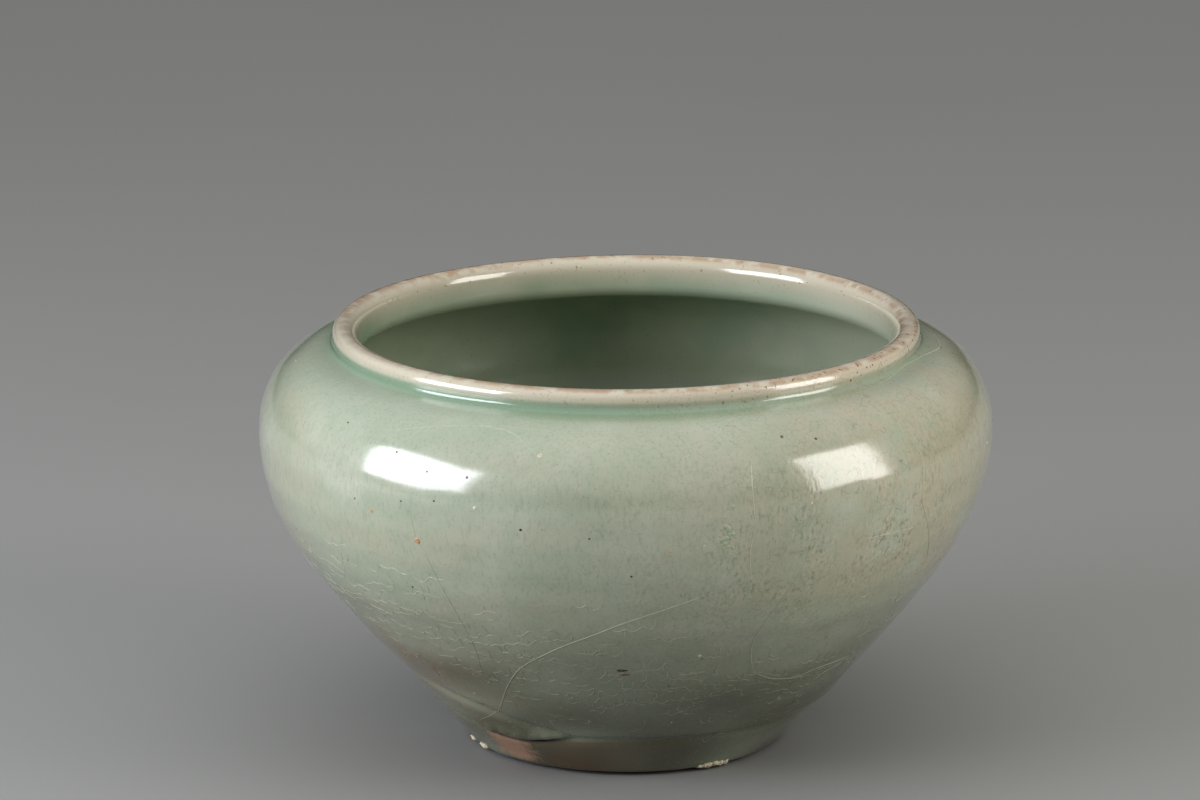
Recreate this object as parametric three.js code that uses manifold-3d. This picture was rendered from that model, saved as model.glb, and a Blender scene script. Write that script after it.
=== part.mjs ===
// A wide-mouthed celadon jar of thrown stoneware: a small turned foot, a wall that flares up to a high
// round shoulder, and a short neck under a rolled lip. It is made as a potter makes it. A base, two
// sections of wall and the rim are luted one on another with tongue and groove edges, and two coats of
// glaze are fused on: one over the outside, which stops above the foot, and one over the inside. The
// coats meet on the crest of the lip. Crumbs of kiln grit are stuck under the foot's bevel.
//
// Millimetres, +Z up, with the origin on the table under the jar's axis. The front is towards -Y.

import * as THREE from "three";
import { mergeVertices } from "three/addons/utils/BufferGeometryUtils.js";
import Module from "manifold-3d";

const wasm = await Module();
wasm.setup();

// Foot
const FOOT_RADIUS = 51.5; // outer edge of the ring that stands on the table
const FOOT_RING_WIDTH = 8;
const FOOT_RECESS = 4; // depth of the turned hollow inside the ring
const FOOT_RECESS_DRAFT = 1.5;
const FOOT_BEVEL_WIDTH = 5.5;
const FOOT_BEVEL_HEIGHT = 2.5;

// Body, bare of glaze
const BELLY_RADIUS = 129.3;
const BELLY_HEIGHT = 115.5; // of the widest circle, above the table
const SHOULDER_RISE = 26.9; // from the widest circle to the neck
const WALL = 6.3;
const BASE_THICKNESS = 8.5;
const FLOOR_FILLET_RUN = 14;

// Rim
const MOUTH_RADIUS = 103.5; // outside of the lip
const LIP_ROLL_RADIUS = 3.8; // of the roll's own section
const NECK_UNDERCUT = 2.1; // how far the neck lies inside the lip
const LIP_SLOPE_HEIGHT = 2.2; // from the undercut up to the lip's widest circle
const NECK_FILLET = 2.2; // where the neck stands on the shoulder
const NECK_CORNER_RADIUS = 4; // inside, where the neck turns out under the shoulder

// How the wall bends. A reach or an ease is the length of a curve's handle, as a share of its rise
const FLARE_ANGLE = THREE.MathUtils.degToRad(42); // from the vertical, at the foot
const FLARE_REACH = 0.7;
const BELLY_EASE_BELOW = 0.3;
const BELLY_EASE_ABOVE = 0.05;
const SHOULDER_FALL = THREE.MathUtils.degToRad(4.3); // from the horizontal, at the neck
const SHOULDER_REACH = 0.91;

// Luted joints, and the groove that is left round the lowest of them
const BASE_SEAM_HEIGHT = 16;
const TONGUE_HEIGHT = 1.6;
const SEAM_GROOVE_DEPTH = 0.6;
const SEAM_GROOVE_WIDTH = 2.2;

// Glaze
const GLAZE = 0.7;
const GLAZE_ON_CREST = 0.35;
const GLAZE_POOL_AT_NECK = 1.3;
const GLAZE_ROLL_AT_FOOT = 1.1;
const GLAZE_POOL_ON_FLOOR = 1.4;

// Kiln grit: patches of crumbs along the bevel, by azimuth from the front in degrees
const GRIT_GAP = 0.3;
const GRIT_ALONG_BEVEL = 0.7; // from the ring to the glaze
const GRIT_PATCHES = [
  { name: "kiln_grit_right", azimuth: 36, crumbs: 5, crumbRadius: 1.9, spacing: 2.4 },
  { name: "kiln_grit_left", azimuth: -62, crumbs: 2, crumbRadius: 1.3, spacing: 1.5 },
  { name: "kiln_grit_far_left", azimuth: -70, crumbs: 2, crumbRadius: 1.1, spacing: 1.2 },
];
const CRUMB_SHAPE = new THREE.Vector3(1.15, 0.95, 0.8);
const CRUMB_UNEVENNESS = 0.2;
const CRUMB_TURN = 2.4; // in radians, from one crumb to the next

// Fineness of the facets
const SEGMENTS = 44;
const BASE_WALL_STEPS = 2;
const LOWER_WALL_STEPS = 6;
const UPPER_WALL_STEPS = 6;
const NECK_FILLET_STEPS = 2;
const LIP_STEPS = 3; // for each quarter of the roll
const CORNER_STEPS = 2;
const FLOOR_FILLET_STEPS = 2;
const HALVINGS = 40; // to find a height on a curve
const SAME_POINT = 1e-6;
const SAME_VERTEX = 1e-4;

const clay = new THREE.MeshStandardMaterial({ color: 0xb98e74, roughness: 0.9, metalness: 0 });
const celadon = new THREE.MeshStandardMaterial({ color: 0xb4bfa4, roughness: 0.18, metalness: 0 });
const celadonInside = new THREE.MeshStandardMaterial({ color: 0xa3b59c, roughness: 0.2, metalness: 0 });
const grit = new THREE.MeshStandardMaterial({ color: 0xd8d2bd, roughness: 0.8, metalness: 0 });

const point = (radius, height) => new THREE.Vector2(radius, height);
const last = (points) => points[points.length - 1];
const reversed = (points) => points.slice().reverse();

// Joins stretches of profile end to end, leaving out a point that repeats the one before it
function chain(...stretches) {
  const points = [];
  for (const p of stretches.flat()) {
    if (!points.length || last(points).distanceTo(p) > SAME_POINT) points.push(p);
  }
  return points;
}

// Points along a curve between two of its parameters, both ends included
function along(curve, steps, from = 0, to = 1) {
  return Array.from({ length: steps + 1 }, (_, i) =>
    curve.getPoint(THREE.MathUtils.lerp(from, to, i / steps)),
  );
}

// Points along an arc of a circle, with its angles in degrees from the outward horizontal
function arc(centre, radius, fromDegrees, toDegrees, steps) {
  return Array.from({ length: steps + 1 }, (_, i) => {
    const angle = THREE.MathUtils.degToRad(THREE.MathUtils.lerp(fromDegrees, toDegrees, i / steps));
    return point(centre.x + radius * Math.cos(angle), centre.y + radius * Math.sin(angle));
  });
}

// The parameter at which a rising curve reaches a height
function parameterAtHeight(curve, height) {
  let low = 0;
  let high = 1;
  for (let i = 0; i < HALVINGS; i += 1) {
    const middle = (low + high) / 2;
    if (curve.getPoint(middle).y < height) low = middle;
    else high = middle;
  }
  return (low + high) / 2;
}

// The unit normal at each point of an open profile, on the left of its direction of travel
function leftNormals(profile) {
  return profile.map((_, i) => {
    const before = profile[Math.max(i - 1, 0)];
    const after = profile[Math.min(i + 1, profile.length - 1)];
    const travel = after.clone().sub(before).normalize();
    return point(-travel.y, travel.x);
  });
}

// An open profile moved to its left, by a distance that may differ from point to point
function offset(profile, distanceAt) {
  return leftNormals(profile).map((normal, i) =>
    profile[i].clone().addScaledVector(normal, distanceAt(profile[i])),
  );
}

// A bump that is 1 at the distance 0 and dies away over a width
const bump = (distance, width) => Math.exp(-((distance / width) ** 2));

// The outer face of the clay wall: up from the foot's bevel to the widest circle, then in to the neck
const neckRadius = MOUTH_RADIUS - NECK_UNDERCUT;
const bevelTop = point(FOOT_RADIUS + FOOT_BEVEL_WIDTH, FOOT_BEVEL_HEIGHT);
const belly = point(BELLY_RADIUS, BELLY_HEIGHT);
const shoulderEnd = point(neckRadius + NECK_FILLET, BELLY_HEIGHT + SHOULDER_RISE);
const lowerRise = BELLY_HEIGHT - FOOT_BEVEL_HEIGHT;
const flareReach = FLARE_REACH * lowerRise;
const lowerWall = new THREE.CubicBezierCurve(
  bevelTop,
  point(bevelTop.x + flareReach * Math.sin(FLARE_ANGLE), bevelTop.y + flareReach * Math.cos(FLARE_ANGLE)),
  point(belly.x, belly.y - BELLY_EASE_BELOW * lowerRise),
  belly,
);
const shoulderReach = SHOULDER_REACH * SHOULDER_RISE;
const upperWall = new THREE.CubicBezierCurve(
  belly,
  point(belly.x, belly.y + BELLY_EASE_ABOVE * SHOULDER_RISE),
  point(
    shoulderEnd.x + shoulderReach * Math.cos(SHOULDER_FALL),
    shoulderEnd.y - shoulderReach * Math.sin(SHOULDER_FALL),
  ),
  shoulderEnd,
);

// The wall is divided at the seam of the base, with a point on either side of its groove
const seamAt = parameterAtHeight(lowerWall, BASE_SEAM_HEIGHT);
const grooveSide = SEAM_GROOVE_WIDTH / lowerRise;
const smoothLower = chain(
  along(lowerWall, BASE_WALL_STEPS, 0, seamAt - grooveSide),
  lowerWall.getPoint(seamAt),
  along(lowerWall, LOWER_WALL_STEPS, seamAt + grooveSide, 1),
);
const baseSeam = BASE_WALL_STEPS + 1;
const bellySeam = smoothLower.length - 1;
const lowerOuter = offset(
  smoothLower,
  (p) => SEAM_GROOVE_DEPTH * bump(p.y - BASE_SEAM_HEIGHT, SEAM_GROOVE_WIDTH),
);
const upperOuter = along(upperWall, UPPER_WALL_STEPS);

// The inner face of the clay wall keeps the wall's thickness from the outer one, without its groove
const wallInner = offset(chain(smoothLower, upperOuter), () => WALL);

// Neck and lip
const lipCentre = point(
  MOUTH_RADIUS - LIP_ROLL_RADIUS,
  shoulderEnd.y + NECK_FILLET + LIP_SLOPE_HEIGHT,
);
const filletCentre = point(shoulderEnd.x, shoulderEnd.y + NECK_FILLET);
const cornerCentre = point(
  lipCentre.x - LIP_ROLL_RADIUS + NECK_CORNER_RADIUS,
  last(wallInner).y + NECK_CORNER_RADIUS,
);
const neckFillet = arc(filletCentre, NECK_FILLET, 270, 180, NECK_FILLET_STEPS);
const lipOuter = arc(lipCentre, LIP_ROLL_RADIUS, 0, 90, LIP_STEPS);
const lipInner = arc(lipCentre, LIP_ROLL_RADIUS, 90, 180, LIP_STEPS);
const neckCorner = arc(cornerCentre, NECK_CORNER_RADIUS, 180, 270, CORNER_STEPS);
const crest = last(lipOuter);

// The floor inside: the wall runs down from the base seam into a fillet, and the floor on to the axis
const floorHeight = FOOT_RECESS + BASE_THICKNESS;
const filletTop = wallInner[baseSeam];
const filletKneeRadius = filletTop.x - (filletTop.y - floorHeight) * Math.tan(FLARE_ANGLE);
const floorFillet = new THREE.QuadraticBezierCurve(
  filletTop,
  point(filletKneeRadius, floorHeight),
  point(filletKneeRadius - FLOOR_FILLET_RUN, floorHeight),
);
const floor = chain(along(floorFillet, FLOOR_FILLET_STEPS), point(0, floorHeight));

// The edge where two sections are luted, from its outer end to its inner one: a tongue on the lower
// section, in a groove of the upper one
function lutedEdge(outer, inner) {
  const across = inner.clone().sub(outer).normalize();
  const upward = point(across.y, -across.x);
  const tongue = outer.clone().lerp(inner, 0.5).addScaledVector(upward, TONGUE_HEIGHT);
  return [outer, tongue, inner];
}
const baseEdge = lutedEdge(lowerOuter[baseSeam], wallInner[baseSeam]);
const bellyEdge = lutedEdge(lowerOuter[bellySeam], wallInner[bellySeam]);
const neckEdge = lutedEdge(shoulderEnd, last(wallInner));

// Closed outlines of the clay sections, each up its outer face and back down its inner one
const baseOutline = [
  point(0, FOOT_RECESS),
  point(FOOT_RADIUS - FOOT_RING_WIDTH - FOOT_RECESS_DRAFT, FOOT_RECESS),
  point(FOOT_RADIUS - FOOT_RING_WIDTH, 0),
  point(FOOT_RADIUS, 0),
];
const baseProfile = chain(baseOutline, lowerOuter.slice(0, baseSeam), baseEdge, floor);
const bellyProfile = chain(
  lowerOuter.slice(baseSeam, bellySeam),
  bellyEdge,
  reversed(wallInner.slice(baseSeam, bellySeam)),
  baseEdge[1],
);
const shoulderProfile = chain(
  upperOuter.slice(0, -1),
  neckEdge,
  reversed(wallInner.slice(bellySeam, -1)),
  bellyEdge[1],
);
const rimProfile = chain(neckFillet, lipOuter, lipInner, neckCorner, neckEdge[2], neckEdge[1]);

// The faces of the clay that the glaze lies on: from the foot up to the crest, and from it to the floor
const glazedOutside = chain(lowerOuter, upperOuter, neckFillet, lipOuter);
const glazedInside = chain(lipInner, neckCorner, reversed(wallInner.slice(baseSeam)), floor);

// The glaze thins out over the roll of the lip
function glazeOnLip(p) {
  return THREE.MathUtils.mapLinear(p.y, lipCentre.y, crest.y, GLAZE, GLAZE_ON_CREST);
}

// The outer coat ends above the foot in a rounded roll, and is pooled in the angle under the lip
function outerGlazeAt(p) {
  const roll = (GLAZE_ROLL_AT_FOOT - GLAZE) * bump(p.y - FOOT_BEVEL_HEIGHT, FOOT_BEVEL_HEIGHT);
  const fromNeck = Math.hypot(p.x - neckRadius, p.y - shoulderEnd.y);
  const pool = (GLAZE_POOL_AT_NECK - GLAZE) * bump(fromNeck, 2 * NECK_FILLET);
  return p.y < lipCentre.y - SAME_POINT ? GLAZE + roll + pool : glazeOnLip(p);
}

// The inner coat is pooled over the floor
function innerGlazeAt(p) {
  const pool = (GLAZE_POOL_ON_FLOOR - GLAZE) * bump(p.y - floorHeight, BASE_THICKNESS);
  return p.y < lipCentre.y ? GLAZE + pool : glazeOnLip(p);
}

// Both coats lie on the right of their faces' direction of travel, and share a point over the crest
const overCrest = point(crest.x, crest.y + GLAZE_ON_CREST);
const overFloor = point(0, floorHeight + GLAZE_POOL_ON_FLOOR);
const outerGlazeFace = chain(offset(glazedOutside, (p) => -outerGlazeAt(p)).slice(0, -1), overCrest);
const innerGlazeFace = chain(overCrest, offset(glazedInside, (p) => -innerGlazeAt(p)).slice(1, -1), overFloor);

// Revolves a profile about +Z. The profile starts and ends on the axis, or is closed by its first point.
// Each four-sided facet is split along the diagonal that starts at its lower end, so that two pieces
// which share a stretch of profile share its facets exactly, and meet without a gap.
function revolve(profile) {
  const endsOnAxis = profile[0].x === 0 && last(profile).x === 0;
  const points = endsOnAxis ? profile : profile.concat(profile[0]);
  const lathe = new THREE.LatheGeometry(points, SEGMENTS);
  const index = lathe.index.array;
  const rows = points.length - 1;
  for (let k = 0; k < index.length; k += 6) {
    const row = (k / 6) % rows;
    const start = points[row];
    const end = points[row + 1];
    if (end.y < start.y || (end.y === start.y && end.x < start.x)) {
      const [a, b, d, c] = index.slice(k, k + 4);
      index.set([a, b, c, a, c, d], k);
    }
  }
  return lathe.rotateX(Math.PI / 2);
}

// A closed geometry as a solid for joining and cutting
function toSolid(geometry) {
  const bare = new THREE.BufferGeometry();
  bare.setAttribute("position", geometry.getAttribute("position"));
  bare.setIndex(geometry.index);
  const merged = mergeVertices(bare, SAME_VERTEX);
  const corners = merged.index.array;
  const triVerts = [];
  for (let k = 0; k < corners.length; k += 3) {
    const [a, b, c] = corners.slice(k, k + 3);
    if (a !== b && b !== c && c !== a) triVerts.push(a, b, c);
  }
  return new wasm.Manifold(
    new wasm.Mesh({
      numProp: 3,
      vertProperties: merged.getAttribute("position").array,
      triVerts: Uint32Array.from(triVerts),
    }),
  );
}

// A joined or cut solid as a geometry again
function toGeometry(solid) {
  const made = solid.getMesh();
  const geometry = new THREE.BufferGeometry();
  geometry.setAttribute("position", new THREE.Float32BufferAttribute(made.vertProperties, 3));
  geometry.setIndex(new THREE.Uint32BufferAttribute(made.triVerts, 1));
  geometry.computeVertexNormals();
  return geometry;
}

// Everything that the grit sticks to, a small gap larger: the foot's bevel and the glazed wall above it
function gritSeat() {
  const stuckTo = chain(point(FOOT_RADIUS, 0), bevelTop, outerGlazeFace.slice(0, bellySeam));
  const face = offset(stuckTo, () => -GRIT_GAP);
  const deep = point(0, face[0].y - BELLY_HEIGHT);
  return toSolid(revolve(chain(deep, point(face[0].x, deep.y), face, point(0, BELLY_HEIGHT))));
}

// The space below the table's top, a small gap higher
function tableBlock() {
  const side = 2 * BELLY_RADIUS;
  return toSolid(new THREE.BoxGeometry(side, side, side).translate(0, 0, GRIT_GAP - side / 2));
}

// A patch of grit: a row of crumbs in the angle between the bevel and the table, cut to both
function gritPatch({ azimuth, crumbs, crumbRadius, spacing }) {
  const onBevel = point(FOOT_RADIUS, 0).lerp(bevelTop, GRIT_ALONG_BEVEL);
  const solids = Array.from({ length: crumbs }, (_, i) => {
    const turn = CRUMB_TURN * i;
    const size = crumbRadius * (1 - CRUMB_UNEVENNESS + CRUMB_UNEVENNESS * Math.cos(turn));
    const angle = THREE.MathUtils.degToRad(azimuth) + ((i - (crumbs - 1) / 2) * spacing) / onBevel.x;
    const radius = onBevel.x + CRUMB_UNEVENNESS * crumbRadius * Math.sin(turn);
    const crumb = new THREE.IcosahedronGeometry(size, 1);
    crumb.scale(CRUMB_SHAPE.x, CRUMB_SHAPE.y, CRUMB_SHAPE.z).rotateZ(turn);
    return toSolid(crumb.translate(radius * Math.sin(angle), -radius * Math.cos(angle), onBevel.y));
  });
  const joined = solids.reduce((patch, crumb) => patch.add(crumb));
  return toGeometry(joined.subtract(gritSeat()).subtract(tableBlock()));
}

function mesh(name, geometry, material) {
  const made = new THREE.Mesh(geometry, material);
  made.name = name;
  return made;
}

const jar = new THREE.Group();
jar.add(
  mesh("base_section", revolve(baseProfile), clay),
  mesh("belly_section", revolve(bellyProfile), clay),
  mesh("shoulder_section", revolve(shoulderProfile), clay),
  mesh("rim_roll", revolve(rimProfile), clay),
  mesh("outer_glaze", revolve(chain(outerGlazeFace, reversed(glazedOutside))), celadon),
  mesh("inner_glaze", revolve(chain(reversed(glazedInside), innerGlazeFace)), celadonInside),
  ...GRIT_PATCHES.map((patch) => mesh(patch.name, gritPatch(patch), grit)),
);

export default jar;
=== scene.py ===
"""A wide-mouthed stoneware jar under a crazed grey-green celadon glaze.

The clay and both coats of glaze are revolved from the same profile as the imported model, with finer steps.
One shared field then puts them out of true as the thrown and fired jar is: the wall leans, the rim dips to
one side, and the outside carries its throwing marks, the groove of the base's seam and the crevice in it.
"""

import math

import bmesh
import bpy
import numpy as np
from mathutils import Color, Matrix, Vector
from mathutils.bvhtree import BVHTree


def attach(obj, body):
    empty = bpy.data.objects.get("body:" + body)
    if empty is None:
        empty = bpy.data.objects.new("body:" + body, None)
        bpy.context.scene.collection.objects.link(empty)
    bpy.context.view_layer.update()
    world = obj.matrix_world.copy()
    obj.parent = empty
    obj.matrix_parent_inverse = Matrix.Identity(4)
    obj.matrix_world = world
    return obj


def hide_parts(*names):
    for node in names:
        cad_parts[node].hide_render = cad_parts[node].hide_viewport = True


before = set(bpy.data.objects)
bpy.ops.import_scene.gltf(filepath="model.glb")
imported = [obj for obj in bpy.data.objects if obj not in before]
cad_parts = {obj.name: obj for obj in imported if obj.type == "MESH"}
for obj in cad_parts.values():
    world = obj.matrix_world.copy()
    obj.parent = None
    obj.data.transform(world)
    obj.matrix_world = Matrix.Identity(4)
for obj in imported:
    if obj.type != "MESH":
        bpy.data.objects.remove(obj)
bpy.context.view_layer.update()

MM = 0.001
TURN = 2 * math.pi

# The photograph's view. The jar's axis stands a little right of the picture's middle
PHOTO_WIDTH = 1200
PHOTO_HEIGHT = 800
AXIS_COLUMN = 626
LENS = 165
SENSOR = 36
CAMERA_DISTANCE = 1951 * MM
CAMERA_ELEVATION = math.radians(14.6)
AIM_HEIGHT = 121.2 * MM

# The jar's sizes, as in the model
FOOT_RADIUS = 51.5 * MM
FOOT_RING_WIDTH = 8 * MM
FOOT_RECESS = 4 * MM
FOOT_RECESS_DRAFT = 1.5 * MM
FOOT_BEVEL_WIDTH = 5.5 * MM
FOOT_BEVEL_HEIGHT = 2.5 * MM
BELLY_RADIUS = 129.3 * MM
BELLY_HEIGHT = 115.5 * MM
SHOULDER_RISE = 26.9 * MM
WALL = 6.3 * MM
BASE_THICKNESS = 8.5 * MM
FLOOR_FILLET_RUN = 14 * MM
MOUTH_RADIUS = 103.5 * MM
LIP_ROLL_RADIUS = 3.8 * MM
LIP_SQUARENESS = 3.0  # 2 is a circle
NECK_UNDERCUT = 2.1 * MM
LIP_SLOPE_HEIGHT = 2.2 * MM
NECK_FILLET = 2.2 * MM
NECK_CORNER_RADIUS = 4 * MM
FLARE_ANGLE = math.radians(42)
FLARE_REACH = 0.7
BELLY_EASE_BELOW = 0.3
BELLY_EASE_ABOVE = 0.05
SHOULDER_FALL = math.radians(4.3)
SHOULDER_REACH = 0.91
BASE_SEAM_HEIGHT = 16 * MM
TONGUE_HEIGHT = 1.6 * MM
GLAZE = 0.7 * MM
GLAZE_ON_CREST = 0.35 * MM
GLAZE_POOL_AT_NECK = 1.3 * MM
GLAZE_ROLL_AT_FOOT = 1.1 * MM
GLAZE_POOL_ON_FLOOR = 1.4 * MM

# Fineness of the meshes
CURVE_POINTS = 400
ARC_POINTS = 100
PROFILE_STEP = 0.2 * MM
SOFTENING_PASSES = 12
COVE_PASSES = 600
COVE_REACH = 4.6 * MM
SAME_POINT = 1e-7
DETAIL = 1.0
GLAZE_COLUMNS = int(400 * DETAIL)
GLAZE_ROWS = int(190 * DETAIL)
INSIDE_ROWS = int(130 * DETAIL)
COAT_BACK_ROWS = 44
COAT_EDGE_ROWS = 6
CLAY_COLUMNS = int(180 * DETAIL)
CLAY_STEP = 1.6 * MM
COLUMN_CROWDING = 0.25  # how much closer together columns stand at the front
SEAM_CROWDING = 3.4  # how much closer together rows stand
SEAM_CROWDING_REACH = 6.3 * MM
NECK_CROWDING = 2.2
CREST_CROWDING = 4
CORNER_CROWDING = 4
SHARP_EDGE = math.radians(80)

# How far the jar is out of true
LEANS = ((1.3 * MM, 24 * MM, 16 * MM), (-0.7 * MM, 84 * MM, 22 * MM))  # to the right, height and spread
RIM_TILT = math.radians(0.35)
RIM_TILT_ZONE = (112 * MM, 146 * MM)
RIM_WAVER = 0.3 * MM

# Random fields round the wall: seed, most waves a turn, shortest pitch upwards, and the count if unusual
WAVE_COUNT = 28
BODY_WAVES = (1, 4, 90 * MM)
SKIN_WAVES = (2, 24, 16 * MM, 48)
DRIFT_WAVES = (3, 2, 200 * MM)
LUMP_WAVES = (4, 90, 6 * MM)
SEAM_WAVES = (5, 11, 1.0)
INSIDE_WAVES = (6, 5, 60 * MM)
RIM_WAVES = (7, 5, 1.0)
STAIN_WAVES = (31, 9, 24 * MM)

# The relief
BODY_UNEVENNESS = 0.22 * MM
SKIN_UNEVENNESS = 0.07 * MM
RING_DEPTH = 0.06 * MM
RING_PITCH = 11 * MM
RING_DRIFT = 0.25  # of the pitch
RINGS_START = (20 * MM, 34 * MM)
RINGS_END = (118 * MM, 134 * MM)
SEAM_HEIGHT = 17.2 * MM
SEAM_RISE = 0.8 * MM
SEAM_WAVER = 0.35 * MM
SEAM_DIP = 4.2 * MM
SEAM_DIP_AT = math.radians(-34)
SEAM_DIP_SPREAD = math.radians(17)
SEAM_DEPTH = 1.0 * MM
SEAM_WIDTH = 1.9 * MM
SEAM_BROW = 0.45 * MM
SEAM_BROW_ABOVE = 1.6  # of the seam's width
CLIMB_START = math.radians(-8)  # where a second groove leaves the seam, and climbs to the left
CLIMB_DEEP = math.radians(-22)
CLIMB_END = math.radians(-62)
CLIMB_FADE = math.radians(-95)
CLIMB_RISE = 13 * MM
CLIMB_DEPTH = 1.1 * MM
CLIMB_WIDTH = 1.7 * MM
WAIST_GROOVES = ((33 * MM, 0.3 * MM, 4 * MM), (57 * MM, 0.4 * MM, 7 * MM))  # height, depth and width
WAIST_DRIFT = 0.5  # how much of the rings' drift the waist grooves follow
CREVICE_FROM = math.radians(-51)
CREVICE_TO = math.radians(-26)
CREVICE_END = math.radians(-14)
CREVICE_SOFTNESS = math.radians(7)
CREVICE_DEPTH = 2.0 * MM
CREVICE_WIDTH = 0.85 * MM
CREVICE_BROW = 0.9 * MM
GROOVE_LOST = 0.7  # how much of the seam's groove the crevice takes up
ROOM_BEHIND = 3.0
LUMP_WIDTH = 2.6 * MM
LUMP_HEIGHT = 0.35
RIM_FADE = 4 * MM
INSIDE_RING_DEPTH = 0.14 * MM
INSIDE_RING_PITCH = 9 * MM
INSIDE_UNEVENNESS = 0.12 * MM
INSIDE_FADE_AT_NECK = 16 * MM
INSIDE_FADE_AT_FLOOR = (2 * MM, 12 * MM)
TURNING_MARK = 0.05 * MM
TURNING_PITCH = 2.6 * MM
TURNING_STEP = TURNING_PITCH / 6
TURNING_FADE = (2 * TURNING_PITCH, 4 * TURNING_PITCH)

# The two softboxes at the jar's sides, by azimuth from the front in degrees, width, height, power and colour,
# and the soft sky, which is brightest overhead
SOFTBOX_DISTANCE = 1.25
SOFTBOX_ELEVATION = math.radians(15.5)
SOFTBOXES = {
    "softbox_left": (-66, 0.85, 0.64, 9.8, (0.97, 0.99, 1.07)),
    "softbox_right": (71, 0.6, 0.79, 6.3, (1.0, 0.98, 0.96)),
}
SKY_COLOUR = (1, 1, 1)
SKY_STRENGTH = 0.68
SKY_GATHERING = 1.05
FLOOR_SIDE = 9.0

DISPLAY_WHITE = 255


def srgb(*display):
    """A colour from its 8-bit display values, as linear light."""
    return tuple(Color(value / DISPLAY_WHITE for value in display).from_srgb_to_scene_linear())


CELADON = srgb(180, 185, 165)
CELADON_PALE = srgb(198, 201, 185)
CELADON_GREEN = srgb(160, 176, 154)
POOL_GREEN = srgb(138, 162, 138)
BEIGE = srgb(188, 180, 158)
# Dark olive, for fine flecks and for the painted shade over the lower wall
OLIVE_FLECKS_AND_SHADE = srgb(86, 88, 70)
IRON_BROWN = srgb(120, 78, 48)
CLAY_SALMON = srgb(176, 147, 127)
CLAY_GREY = srgb(138, 124, 108)
GRIT_CREAM = srgb(216, 208, 184)
VEIN = srgb(214, 210, 190)
LIP_BEIGE = srgb(217, 206, 187)
CRACKLE_DARK = srgb(92, 88, 68)
# Painted shade for the inside of the crevice
CREVICE_SHADE = srgb(52, 42, 32)
TAN_EDGE = srgb(172, 136, 102)
TOAST = srgb(112, 92, 68)
TAN_WALL = srgb(156, 132, 102)
FLOOR_PALE = srgb(160, 160, 158)
FLOOR_SHADE = srgb(152, 152, 150)

# Gloss
GLAZE_ROUGHNESS = 0.16
INSIDE_ROUGHNESS = 0.14
GLAZE_IOR = 1.55
GLASS_WEIGHT = 0.65
GLASS_ROUGHNESS = 0.11
GLASS_IOR = 1.5
LINE_ROUGHNESS = 0.4  # the raised lines are duller
LINE_GLASS = 0.2
SPECK_ROUGHNESS = 0.3
DRY_IOR = 1.5
CLAY_ROUGHNESS = 0.88
GRIT_ROUGHNESS = 0.75
FLOOR_ROUGHNESS = 0.9
BARE_ROUGHNESS = 0.85
CREVICE_ROUGHNESS = 0.9

# Where the coats are stained, pooled, thin, crackled or bare, and where shade and light are painted on them.
# A mark is a sum of parts, and a part is a share times factors: a field, or where it is above or below a
# change, or near a value with a spread. Turns are in degrees and heights in millimetres
AT_RIGHT = ("sideways", "above", -0.3, 0.7)
ON_LIP = ("height", "above", 145.3, 148.3)
UNDER_SEAM = ("over_seam", "below", -1.4, 0.2)
# The lower wall, darker partly as olive glaze and partly as painted shade
IN_OLIVE_AND_SHADE = ("height", "below", 20, 88)
IN_POOL = ("height", "near", 144, 1.9)
ON_NECK = ("height", "above", 143.4, 146.8)
OUTER_MARKS = {
    "beige": (
        (1, ("turn", "near", 58, 42), ("height", "above", 62, 84)),
        (0.35, ("stains", "above", 0.4, 1.2)),
    ),
    "green": (
        (1, ("turn", "near", -55, 48), ("height", "above", 128, 142)),
        (0.6, ("stains", "below", -1, -0.3)),
    ),
    # Painted shade, partly olive glaze: the lower wall darker all round
    "olive_and_shade": ((0.8, IN_OLIVE_AND_SHADE), (0.2, IN_OLIVE_AND_SHADE, ("stains",))),
    "pool": ((0.95, IN_POOL), (-0.5, IN_POOL, AT_RIGHT)),
    "lip": ((1, ON_LIP),),
    "iron": ((1, ("height", "near", 150.6, 0.6)),),
    "freckles": ((0.25, ON_NECK), (0.75, ON_NECK, AT_RIGHT)),
    "crackle": ((0.2, ("all",)), (0.8, AT_RIGHT)),
    "grain": ((1, ("turn", "near", 44, 46), ("height", "near", 96, 34)),),
    "crinkle": (
        (1, ("height", "above", 18, 26), ("height", "below", 66, 88), ("stains", "above", -0.5, 0.4)),
    ),
    "bare": ((1, ("turn", "near", -39, 9), ("height", "above", 1.5, 3.5), UNDER_SEAM),),
    "toast": ((1, ("turn", "near", -14, 24), UNDER_SEAM),),
    # The crevice: painted shade, with the gloss taken away
    "crevice": ((1, ("gape",), ("over_seam", "near", 0, 0.85)),),
    "tan": ((0.75, ("turn", "near", -62, 30), ("height", "near", 38, 18)),),
}
INNER_MARKS = {
    "lip": ((1, ("height", "above", 139.8, 147.8)),),
    "iron": ((1, ("height", "near", 150.6, 0.7)),),
    "stain": ((1, ("turn", "near", -140, 16), ("height", "above", 147.8, 149.8)),),
    # Darker and greener deeper down: partly pooled glaze, partly painted shade
    "deep": ((1, ("height", "below", 12.5, 122.4)),),
    # Painted light: the wall inside at the right made paler where the light falls on it
    "painted_light": ((1, ("turn", "near", 118, 42), ("height", "above", 50, 100)),),
}

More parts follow.
